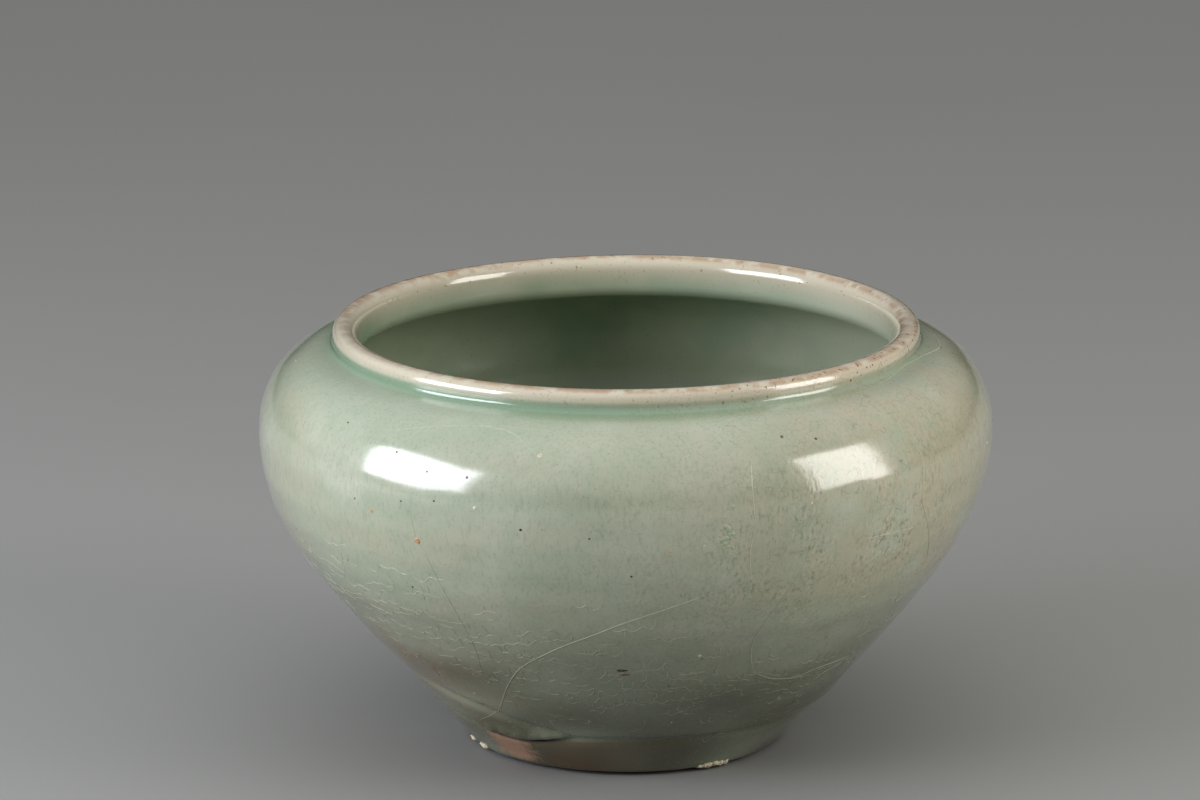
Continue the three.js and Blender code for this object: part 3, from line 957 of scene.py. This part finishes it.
def crowded(points):
    """Rows stand closer together at the seam with its crevice, at the neck and over the crest."""
    height = points[:, 1]
    at_seam = bump(height - SEAM_HEIGHT + SEAM_DIP / 2, SEAM_CROWDING_REACH)
    at_neck = smooth_step(height, neck_foot - 2 * NECK_FILLET, neck_foot)
    at_crest = smooth_step(height, lip_middle + LIP_ROLL_RADIUS / 2, lip_crest)
    return 1 + SEAM_CROWDING * at_seam + NECK_CROWDING * at_neck + CREST_CROWDING * at_crest


def crowded_inside(points):
    """Rows stand closer together over the crest and round the corner of the neck."""
    return crowded(points) + CORNER_CROWDING * bump(points[:, 1] - corner_height, NECK_CORNER_RADIUS)


def make_outer_glaze():
    face = resampled(outer_face, GLAZE_ROWS, crowded)
    back = resampled(softened(glazed_outside), COAT_BACK_ROWS, crowded)[::-1]
    edge_centre = (face[0] + back[-1]) / 2
    to_back = back[-1] - edge_centre
    edge_start = math.degrees(math.atan2(*to_back[::-1]))
    edge = resampled(arc(edge_centre, np.hypot(*to_back), edge_start, edge_start + 180), COAT_EDGE_ROWS)[1:-1]
    profile = np.vstack([stretch(np.vstack([edge, face])), stretch(back, under=1.0)])
    piece = revolved("outer_glaze_coat", profile, GLAZE_COLUMNS)
    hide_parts("outer_glaze")
    return piece


def make_inner_glaze():
    face = resampled(inner_face, INSIDE_ROWS, crowded_inside)
    back = resampled(np.vstack([glazed_inside, (0, floor_height)]), COAT_BACK_ROWS, crowded_inside)[::-1]
    profile = stretch(np.vstack([face, back]))
    piece = revolved("inner_glaze_coat", profile, GLAZE_COLUMNS, relief=inside_relief)
    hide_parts("inner_glaze")
    return piece


# Fine raised lines and specks on the glaze


def on_outside(azimuth, run):
    """Points on the outside as fired, by azimuth and by the way run along the face from the foot."""
    radius, height = between_rows(run, face_runs, outer_face).T
    return put(radius, height, 1.0, azimuth)


def frames_on_outside(azimuth, run):
    """Points on the outside, and the ways to the right, up the face and out of it."""
    middle = on_outside(azimuth, run)
    right = on_outside(azimuth + FRAME_REACH / BELLY_RADIUS, run) - middle
    up = on_outside(azimuth, run + FRAME_REACH) - middle
    right /= np.linalg.norm(right, axis=1)[:, None]
    up -= (up * right).sum(axis=1)[:, None] * right
    up /= np.linalg.norm(up, axis=1)[:, None]
    return middle, right, up, np.cross(right, up)


def seen_at(picture_points):
    """The azimuth and run of the outside's points that the photograph shows at its pixels."""
    found = []
    for column, row in picture_points:
        ahead = Vector((column - PHOTO_WIDTH / 2, PHOTO_HEIGHT / 2 - row, -LENS / SENSOR * PHOTO_WIDTH))
        towards = camera.matrix_world.to_3x3() @ ahead.normalized()
        hit = outer_tree.ray_cast(camera.location, towards)[0]
        if hit is not None:
            found.append((math.atan2(hit.x, -hit.y), np.interp(hit.z, face_heights, face_runs)))
    return np.array(found)


def smooth_path(corners, step, softening=PATH_SOFTENING):
    """A rounded line through corners in azimuth and run, in steps of about one length."""
    run = runs_of(np.hypot(np.diff(corners[:, 0]) * BELLY_RADIUS, np.diff(corners[:, 1])))
    at = np.linspace(0, run[-1], max(3, round(run[-1] / step)))
    return averaged(between_rows(at, run, corners), softening)


def ridge(path, half_width):
    """The points and faces of a thin raised line, half sunk and drawn out at its ends."""
    middle, right, up, out = frames_on_outside(*path.T)
    across = np.cross(np.gradient(middle, axis=0), out)
    across /= np.linalg.norm(across, axis=1)[:, None]
    fullness = np.clip(arch(np.linspace(0, 1, len(path))) * RIDGE_FULLNESS, 0, 1)
    width = half_width * (RIDGE_TIP + (1 - RIDGE_TIP) * fullness)
    lines = []
    for side, lift in RIDGE_SECTION:
        lines.append(middle + across * (width * side)[:, None] + out * (width * lift)[:, None])
    sides = len(lines)
    faces = ring_faces(len(path), sides)
    faces.append(range(sides)[::-1])
    faces.append(range((len(path) - 1) * sides, len(path) * sides))
    return np.stack(lines, axis=1).reshape(-1, 3), faces


def ridges(name, paths, half_widths):
    """One piece of many raised lines."""
    return shown(name, mesh_of_parts(name, map(ridge, paths, half_widths)))


def make_veins():
    """The long veins that the front shows, and others like them round the back."""
    random = np.random.default_rng(VEIN_SEED)
    paths = [smooth_path(seen_at(corners), VEIN_STEP, VEIN_SOFTENING) for _, *corners in VEINS]
    widths = [VEIN_WIDTH * share for share, *_ in VEINS]
    for _ in range(BACK_VEINS):
        azimuth = random.uniform(*BACK_VEIN_AZIMUTHS)
        run = random.uniform(*BACK_VEIN_RUNS) * MM
        paths.append(wander(random, azimuth, run, random.uniform(*BACK_VEIN_LENGTHS) * MM))
        widths.append(VEIN_WIDTH * random.uniform(*BACK_VEIN_SHARES))
    return ridges("glaze_veins", paths, widths)


def wander(random, azimuth, run, length):
    """A line that wanders steeply up or down from a place for a length."""
    steps = round(length / WANDER_STEP)
    rise = BACK_VEIN_STEEPNESS * random.choice([-1, 1])
    heading = math.atan2(rise, random.choice([-1, 1]) * random.uniform(*WANDER_LEVEL))
    turns = np.cumsum(random.normal(0, WANDER_TURN, steps))
    turns -= np.linspace(0, turns[-1], steps) * WANDER_RETURN
    headings = heading + turns
    azimuths = azimuth + np.cumsum(np.cos(headings)) * WANDER_STEP / BELLY_RADIUS
    runs = run + np.cumsum(np.sin(headings)) * WANDER_STEP
    inside = (runs > VEIN_LOW) & (runs < VEIN_HIGH)
    return smooth_path(np.column_stack([azimuths, runs])[inside], VEIN_STEP)


def festoon(random, azimuth, run):
    """A crinkle that starts at a place, and how wide it is: a level chain of hanging loops with spurs."""
    corners = [(0.0, 0.0)]
    spurs = []
    for _ in range(random.integers(*LOOP_COUNTS)):
        wide = random.uniform(*LOOP_WIDTHS) * MM
        deep = wide * random.uniform(*LOOP_HANGS)
        lean = random.uniform(0.0, 1.0)
        rise = random.normal(0, LOOP_RISE) * wide
        start_x, start_y = corners[-1]
        for share in LOOP_SHARES:
            hang = arch(share) * (1 + (lean - 1 / 2) * (2 * share - 1))
            corners.append((start_x + share * wide, start_y + share * rise - deep * hang))
        if random.random() < SPUR_CHANCE:
            reach = random.choice(SPUR_WAYS) * random.uniform(*SPUR_LENGTHS) * MM
            end_x, end_y = corners[-1]
            sway = reach * random.uniform(*SPUR_SWAYS)
            knee, tip = (end_x + sway, end_y + reach / 2), (end_x + sway / 2, end_y + reach)
            spurs.append([corners[-1], knee, tip])
    found = []
    for line in [corners] + spurs:
        along, up = np.array(line).T
        found.append(smooth_path(np.column_stack([azimuth + along / BELLY_RADIUS, run + up]), CRINKLE_STEP))
    return found, corners[-1][0]


def crinkle_density(azimuth, height):
    """The share of the places that hold a crinkle."""
    found = 0.0
    for at, wide, middle, high, most in CRINKLE_DRIFTS:
        found += most * bump(math.degrees(azimuth) - at, wide) * bump(height - middle * MM, high * MM)
    return found


def make_crinkles():
    """Drifts of crinkles over the lower wall in uneven rows, dense at the left of the front."""
    random = np.random.default_rng(CRINKLE_SEED)
    paths = []
    for row in np.arange(VEIN_LOW + CRINKLE_ROOM, CRINKLE_TOP, CRINKLE_ROW):
        height = np.interp(row, face_runs, outer_face[:, 1])
        azimuth = -math.pi
        while azimuth < math.pi:
            lines, wide = festoon(random, azimuth, row + CRINKLE_ROW_SPREAD * random.normal())
            if random.random() < crinkle_density(azimuth, height):
                paths.extend(lines)
            azimuth += (wide + random.uniform(*CRINKLE_GAPS) * CRINKLE_GAP) / BELLY_RADIUS
    return ridges("glaze_crinkles", paths, [CRINKLE_WIDTH * random.uniform(*CRINKLE_SHARES) for _ in paths])


def speck(azimuth, run, radius, wide, hollow):
    """A blister or pit: a low dome with its edge sunk and its middle raised or hollow."""
    middle, right, up, out = (way[0] for way in frames_on_outside(np.array([azimuth]), np.array([run])))
    turns = np.linspace(0, TURN, SPECK_SIDES, endpoint=False)
    lobes = 1 + SPECK_LOBE_DEPTH * np.cos(SPECK_LOBES * turns + azimuth * SPECK_LOBE_TURN)
    points = [middle - out * radius * SPECK_SINK]
    for share, rise in SPECK_RINGS:
        sunk = hollow if (share, rise) == SPECK_RINGS[-1] else 0.0
        reach = radius * share * lobes
        circle = right * (wide * reach * np.cos(turns))[:, None] + up * (reach * np.sin(turns))[:, None]
        points.extend(middle + circle + out * (SPECK_LIFT * radius) * (rise - sunk))
    faces = [(0, 1 + (k + 1) % SPECK_SIDES, 1 + k) for k in range(SPECK_SIDES)]
    faces.extend(ring_faces(len(SPECK_RINGS), SPECK_SIDES, first=1))
    faces.append(range(len(points) - SPECK_SIDES, len(points)))
    return np.array(points), faces


def make_specks():
    """The spots and pits that the front shows, the hollow ones painted with their shadow, and a scatter of
    small ones all over.
    """
    random = np.random.default_rng(SPECK_SEED)
    found = []
    crumbs = random.normal(CRUMBS_AT, CRUMBS_REACH, (CRUMBS, 2))
    green = tuple((*crumb, random.uniform(*CRUMB_RADII), "green") for crumb in crumbs)
    for column, row, radius, kind in SPECKS + green:
        found.extend((*place, radius, kind) for place in seen_at([(column, row)]))
    for _ in range(SCATTERED_SPECKS):
        kind = random.choice(SCATTERED_KINDS)
        place = (random.uniform(-math.pi, math.pi), random.uniform(VEIN_LOW, VEIN_HIGH))
        found.append((*place, random.uniform(*SCATTERED_RADII), kind))
    parts, colours = [], []
    for azimuth, run, radius, kind in found:
        hollow = 0.0 if kind == "green" else random.uniform(*SPECK_HOLLOWS)
        parts.append(speck(azimuth, run, radius * MM, SPECK_STRETCH.get(kind, 1.0), hollow))
        colours.extend([(*SPECK_COLOURS[kind], 1.0)] * len(parts[-1][0]))
    mesh = mesh_of_parts("glaze_specks", parts)
    colour = mesh.color_attributes.new("speck_colour", "FLOAT_COLOR", "POINT")
    colour.data.foreach_set("color", np.array(colours, np.float32).ravel())
    return shown("glaze_specks", mesh)


# Kiln grit


def grit_crumb(shaped, place, size, turn):
    """A dented ball, flat where it would reach under the table's top."""
    deep, dents_x, dents_y = GRIT_DENTS
    fine, ripples_z, ripples_x = GRIT_RIPPLES
    for vertex in bmesh.ops.create_icosphere(shaped, subdivisions=GRIT_FINENESS, radius=1.0)["verts"]:
        direction = vertex.co.normalized()
        dent = deep * math.sin(dents_x * direction.x + turn) * math.cos(dents_y * direction.y - turn)
        dent += fine * math.sin(ripples_z * direction.z + ripples_x * direction.x + 2 * turn)
        grown = direction * (1 + dent)
        vertex.co = place + size * Vector(axis * wide for axis, wide in zip(grown, GRIT_SHAPE))
        vertex.co.z = max(vertex.co.z, GRIT_LIFT)


def make_grit(node, azimuth, crumbs, radius, spacing):
    """A patch of crumbs along the foot's bevel, a few large with smaller ones round them."""
    random = np.random.default_rng(crumbs + GRIT_SEED)
    seat_radius = FOOT_RADIUS + GRIT_ALONG_BEVEL * FOOT_BEVEL_WIDTH
    seat_height = GRIT_ALONG_BEVEL * FOOT_BEVEL_HEIGHT
    shaped = bmesh.new()
    for i in range(GRIT_KINDS * crumbs):
        size = radius * random.uniform(*(GRIT_SMALL if i % GRIT_KINDS else GRIT_LARGE))
        along = (i / GRIT_KINDS - (crumbs - 1) / 2) * spacing
        angle = math.radians(azimuth) + along / seat_radius
        reach = seat_radius + random.uniform(*GRIT_REACHES) * radius
        height = seat_height + random.uniform(*GRIT_HEIGHTS) * radius
        place = Vector((reach * math.sin(angle), -reach * math.cos(angle), height))
        grit_crumb(shaped, place, size, random.uniform(0, TURN))
    mesh = bpy.data.meshes.new(node + "_crumbs")
    shaped.to_mesh(mesh)
    shaped.free()
    piece = shown(node + "_crumbs", mesh)
    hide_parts(node)
    return piece


# Materials


def feed(tree, socket, value):
    """Links a socket to another one, or sets its constant."""
    if isinstance(value, bpy.types.NodeSocket):
        tree.links.new(value, socket)
    elif isinstance(value, tuple) and socket.type == "RGBA":
        socket.default_value = (*value, 1)
    else:
        socket.default_value = value


def add_node(tree, kind, inputs, output=0, **settings):
    """A new shader node with its settings and inputs, as one of its outputs."""
    made = tree.nodes.new("ShaderNode" + kind)
    for name, setting in settings.items():
        setattr(made, name, setting)
    for name, value in inputs.items():
        feed(tree, made.inputs[name], value)
    return made.outputs[output]


class Recipe:
    """A material whose colour, dullness and skin are built up in layers. Its sizes are in millimetres."""

    def __init__(self, name, colour, roughness, ior=DRY_IOR):
        self.material = bpy.data.materials.new(name)
        self.material.use_nodes = True
        self.tree = self.material.node_tree
        self.inputs = self.tree.nodes["Principled BSDF"].inputs
        self.inputs["IOR"].default_value = ior
        self.at = self.node("TexCoord", {}, "Object")
        self.colour = colour
        self.roughness = roughness
        self.normal = None
        self.masks = {}

    def node(self, kind, inputs, output=0, **settings):
        return add_node(self.tree, kind, inputs, output, **settings)

    def calc(self, operation, a, b):
        return self.node("Math", {0: a, 1: b}, operation=operation)

    def vector(self, operation, a, b):
        return self.node("VectorMath", {0: a, 1: b}, operation=operation)

    def times(self, product, *factors):
        for factor in factors:
            product = self.calc("MULTIPLY", product, factor)
        return product

    def rest(self, share):
        return self.calc("SUBTRACT", 1.0, share)

    def between(self, value, low, high):
        """0 where the value is at low and 1 where it is at high."""
        inputs = {"Value": value, "From Min": low, "From Max": high}
        return self.node("MapRange", inputs, interpolation_type="SMOOTHSTEP")

    def flattened(self, flatness):
        """Places for a pattern that is so much shorter upwards."""
        return self.vector("MULTIPLY", self.at, (1.0, 1.0, flatness))

    def shaken(self, at, size, reach):
        """Places shifted by noise, so that a regular pattern bends."""
        inputs = {"Vector": at, "Scale": 1 / (size * MM), "Detail": SHAKING_DETAIL}
        centred = self.vector("SUBTRACT", self.node("TexNoise", inputs, "Color"), (NOISE_MIDDLE,) * 3)
        scaled = self.node("VectorMath", {0: centred, "Scale": 2 * reach * MM}, operation="SCALE")
        return self.vector("ADD", at, scaled)

    def noise(self, size, detail, flatness=1.0):
        at = self.at if flatness == 1.0 else self.flattened(flatness)
        return self.node("TexNoise", {"Vector": at, "Scale": 1 / (size * MM), "Detail": detail}, "Fac")

    def clouds(self, size, detail, low, high, flatness=1.0):
        return self.between(self.noise(size, detail, flatness), low, high)

    def edges(self, size, at):
        """The distance to the nearest border between cells."""
        inputs = {"Vector": at, "Scale": 1 / (size * MM)}
        return self.node("TexVoronoi", inputs, "Distance", feature="DISTANCE_TO_EDGE")

    def lower_half(self, size, at):
        """1 in the lower half of each cell."""
        middle = self.node("TexVoronoi", {"Vector": at, "Scale": 1 / (size * MM)}, "Position")
        below = self.node("SeparateXYZ", {"Vector": self.vector("SUBTRACT", middle, at)}, "Z")
        return self.between(below, *(share * size * MM for share in SCALE_BELOW))

    def glaze_over(self, weight=GLASS_WEIGHT):
        """A clear glassy skin, which doubles the gloss."""
        self.inputs["Coat Weight"].default_value = weight
        self.inputs["Coat Roughness"].default_value = GLASS_ROUGHNESS
        self.inputs["Coat IOR"].default_value = GLASS_IOR

    def unglaze(self, share):
        """Takes the glassy skin away by a share."""
        weight = self.inputs["Coat Weight"]
        feed(self.tree, weight, self.times(self.rest(share), weight.default_value))

    def mask(self, name):
        """A mask of this material, or else a mark on the piece."""
        if name in self.masks:
            return self.masks[name]
        return self.node("Attribute", {}, "Fac", attribute_name=name)

    def mixed(self, kind, share, under, over):
        first, second, result = MIX_SOCKETS[kind]
        return self.node("Mix", {0: share, first: under, second: over}, result, data_type=kind)

    def paint(self, layers):
        for colour, share, masks, clouds in layers:
            factors = [self.mask(name) for name in masks]
            if clouds:
                factors.append(self.clouds(*clouds))
            self.colour = self.mixed("RGBA", self.times(*factors, share), self.colour, colour)

    def dull(self, share, roughness):
        self.roughness = self.mixed("FLOAT", share, self.roughness, roughness)

    def carve(self, height, depth):
        inputs = {"Height": height, "Distance": depth, "Strength": 1.0}
        if self.normal is not None:
            inputs["Normal"] = self.normal
        self.normal = self.node("Bump", inputs, "Normal")

    def roughen(self, size, detail, depth, share=1.0):
        self.carve(self.times(self.noise(size, detail), share), depth)

    def onto(self, piece, slot=None):
        made = {"Base Color": self.colour, "Roughness": self.roughness}
        if self.normal is not None:
            made.update({"Normal": self.normal, "Coat Normal": self.normal})
        for name, value in made.items():
            feed(self.tree, self.inputs[name], value)
        piece.data.materials.clear()
        piece.data.materials.append(self.material)


def bare_clay_mask(recipe):
    """Where the glaze has left the clay bare, with a ragged edge."""
    bare = recipe.mask("bare")
    ragged = recipe.times(recipe.calc("SUBTRACT", recipe.noise(*RAGGED_NOISE), NOISE_MIDDLE), RAGGED_REACH)
    torn = recipe.between(recipe.calc("ADD", bare, ragged), *BARE_EDGE)
    return recipe.times(torn, recipe.between(bare, *BARE_ROOM))


def glaze_outside(name, raised=0.0, roughness=GLAZE_ROUGHNESS, glass=GLASS_WEIGHT):
    """Glossy celadon, mottled, stained and crackled, with painted shade low on the wall and in the crevice.
    Raised lines of it are paler by the share given.
    """
    recipe = Recipe(name, CELADON, roughness, GLAZE_IOR)
    recipe.glaze_over(glass)
    cracks = recipe.edges(CRACKLE_SIZE, recipe.shaken(recipe.at, CRACKLE_SIZE, CRACKLE_SHAKE))
    scales_at = recipe.shaken(recipe.flattened(SCALE_FLATNESS), SCALE_SIZE, SCALE_SHAKE)
    scales = recipe.edges(SCALE_SIZE, scales_at)
    lower_half = recipe.lower_half(SCALE_SIZE, scales_at)
    drifts = recipe.times(lower_half, recipe.clouds(*SCALE_CLOUDS), recipe.mask("crinkle"))
    bare = bare_clay_mask(recipe)
    grain = recipe.noise(*GRAIN_NOISE)
    grainy = recipe.times(recipe.mask("grain"), recipe.clouds(*GRAIN_CLOUDS))
    recipe.masks = {
        "crackle_lines": recipe.rest(recipe.between(cracks, *CRACKLE_EDGE)),
        "scale_lines": recipe.rest(recipe.between(scales, *SCALE_EDGE)),
        "scale_drifts": drifts,
        "raised": raised,
        "bare_clay": bare,
        "grainy": grainy,
        "grain_tops": recipe.between(grain, *GRAIN_TOPS),
        "grain_pits": recipe.between(grain, *GRAIN_PITS),
    }
    recipe.paint(OUTER_LAYERS)
    recipe.dull(bare, BARE_ROUGHNESS)
    recipe.dull(recipe.mask("crevice"), CREVICE_ROUGHNESS)
    recipe.unglaze(recipe.calc("MAXIMUM", bare, recipe.mask("crevice")))
    recipe.roughen(*OUTER_SKIN)
    recipe.carve(recipe.times(grain, grainy), GRAIN_DEPTH)
    recipe.carve(recipe.times(recipe.between(scales, *SCALE_SLOPE), drifts), SCALE_DEPTH)
    recipe.roughen(*BARE_SKIN, bare)
    return recipe


def glaze_inside():
    """The same celadon, smoother and greener, with tan stains at the back of the rim, painted light on the
    wall at the right, and deeper down a greener tone that is partly pooled glaze and partly painted shade.
    """
    recipe = Recipe("celadon_inside", CELADON, INSIDE_ROUGHNESS, GLAZE_IOR)
    recipe.glaze_over()
    recipe.paint(INNER_LAYERS)
    recipe.roughen(*INNER_SKIN)
    return recipe


def bare_clay(name):
    """Dry fired stoneware, salmon and grey, with fine sand in it."""
    recipe = Recipe(name, CLAY_SALMON, CLAY_ROUGHNESS)
    recipe.paint(CLAY_LAYERS)
    recipe.roughen(*CLAY_SKIN)
    return recipe


def kiln_grit():
    recipe = Recipe("grit_cream", GRIT_CREAM, GRIT_ROUGHNESS)
    recipe.paint(GRIT_LAYERS)
    recipe.roughen(*GRIT_SKIN)
    return recipe


def speck_glaze():
    recipe = Recipe("speck_glaze", CELADON, SPECK_ROUGHNESS, GLAZE_IOR)
    recipe.colour = recipe.node("Attribute", {}, "Color", attribute_name="speck_colour")
    recipe.paint(SPECK_LAYERS)
    return recipe


def studio_floor():
    recipe = Recipe("pale_floor", FLOOR_PALE, FLOOR_ROUGHNESS)
    recipe.paint(FLOOR_LAYERS)
    return recipe


# The camera, the lights and the floor


def ahead_of(azimuth, elevation):
    """The way from the jar out to an azimuth, so far above the level."""
    level = math.cos(elevation)
    return Vector((math.sin(azimuth) * level, -math.cos(azimuth) * level, math.sin(elevation)))


def turned_to(way):
    return way.to_track_quat("-Z", "Y").to_euler()


def make_camera():
    data = bpy.data.cameras.new("camera")
    data.lens = LENS
    data.sensor_width = SENSOR
    camera = placed("camera", data)
    camera.location = Vector((0, 0, AIM_HEIGHT)) + CAMERA_DISTANCE * ahead_of(0, CAMERA_ELEVATION)
    pixel = SENSOR / PHOTO_WIDTH / LENS * CAMERA_DISTANCE
    aim = Vector(((PHOTO_WIDTH / 2 - AXIS_COLUMN) * pixel, 0, AIM_HEIGHT))
    camera.rotation_euler = turned_to(aim - camera.location)
    bpy.context.scene.camera = camera
    bpy.context.view_layer.update()
    return camera


def make_softbox(name, azimuth, wide, tall, power, colour):
    """A softbox that faces the jar, as the two bright patches on the shoulder show."""
    data = bpy.data.lights.new(name, "AREA")
    data.shape = "RECTANGLE"
    data.size = wide
    data.size_y = tall
    data.energy = power
    data.color = colour
    light = placed(name, data)
    towards = ahead_of(math.radians(azimuth), SOFTBOX_ELEVATION)
    light.location = Vector((0, 0, AIM_HEIGHT)) + SOFTBOX_DISTANCE * towards
    light.rotation_euler = turned_to(-towards)


def make_floor():
    half = FLOOR_SIDE / 2
    corners = [(-half, -half, 0), (half, -half, 0), (half, half, 0), (-half, half, 0)]
    floor = placed("floor", mesh_of("floor", corners, [(0, 1, 2, 3)]))
    return floor


def make_world():
    """A plain white sky that is brightest overhead and dies away down to the horizon."""
    world = bpy.data.worlds.new("studio")
    world.use_nodes = True
    tree = world.node_tree
    place = add_node(tree, "TexCoord", {}, "Generated")
    upward = add_node(tree, "SeparateXYZ", {"Vector": place}, "Z")
    above = add_node(tree, "MapRange", {"Value": upward})
    gathered = add_node(tree, "Math", {0: above, 1: SKY_GATHERING}, operation="POWER")
    strength = add_node(tree, "Math", {0: gathered, 1: SKY_STRENGTH}, operation="MULTIPLY")
    feed(tree, tree.nodes["Background"].inputs["Color"], SKY_COLOUR)
    feed(tree, tree.nodes["Background"].inputs["Strength"], strength)
    bpy.context.scene.world = world


camera = make_camera()
for section in (make_base(), make_belly(), make_shoulder(), make_rim()):
    bare_clay(section.name + "_stoneware").onto(section, "stoneware")
outer_glaze = make_outer_glaze()
mark(outer_glaze, OUTER_MARKS)
glaze_outside("celadon_outside").onto(outer_glaze, "celadon_glaze")
inner_glaze = make_inner_glaze()
mark(inner_glaze, INNER_MARKS)
glaze_inside().onto(inner_glaze, "celadon_glaze_inside")
outer_tree = BVHTree.FromObject(outer_glaze, bpy.context.evaluated_depsgraph_get())
for lines, paler in ((make_veins(), VEIN_PALER), (make_crinkles(), CRINKLE_PALER)):
    mark(lines, OUTER_MARKS)
    glaze_outside(lines.name + "_celadon", paler, LINE_ROUGHNESS, LINE_GLASS).onto(lines, "celadon_glaze")
speck_glaze().onto(make_specks(), "celadon_glaze")
for grit_node, grit_sizes in GRIT_PATCHES.items():
    kiln_grit().onto(make_grit(grit_node, *grit_sizes), "kiln_grit")
studio_floor().onto(make_floor())
make_world()
for softbox, softbox_sizes in SOFTBOXES.items():
    make_softbox(softbox, *softbox_sizes)
bpy.context.scene.view_settings.view_transform = "Standard"
bpy.context.scene.view_settings.look = "High Contrast"
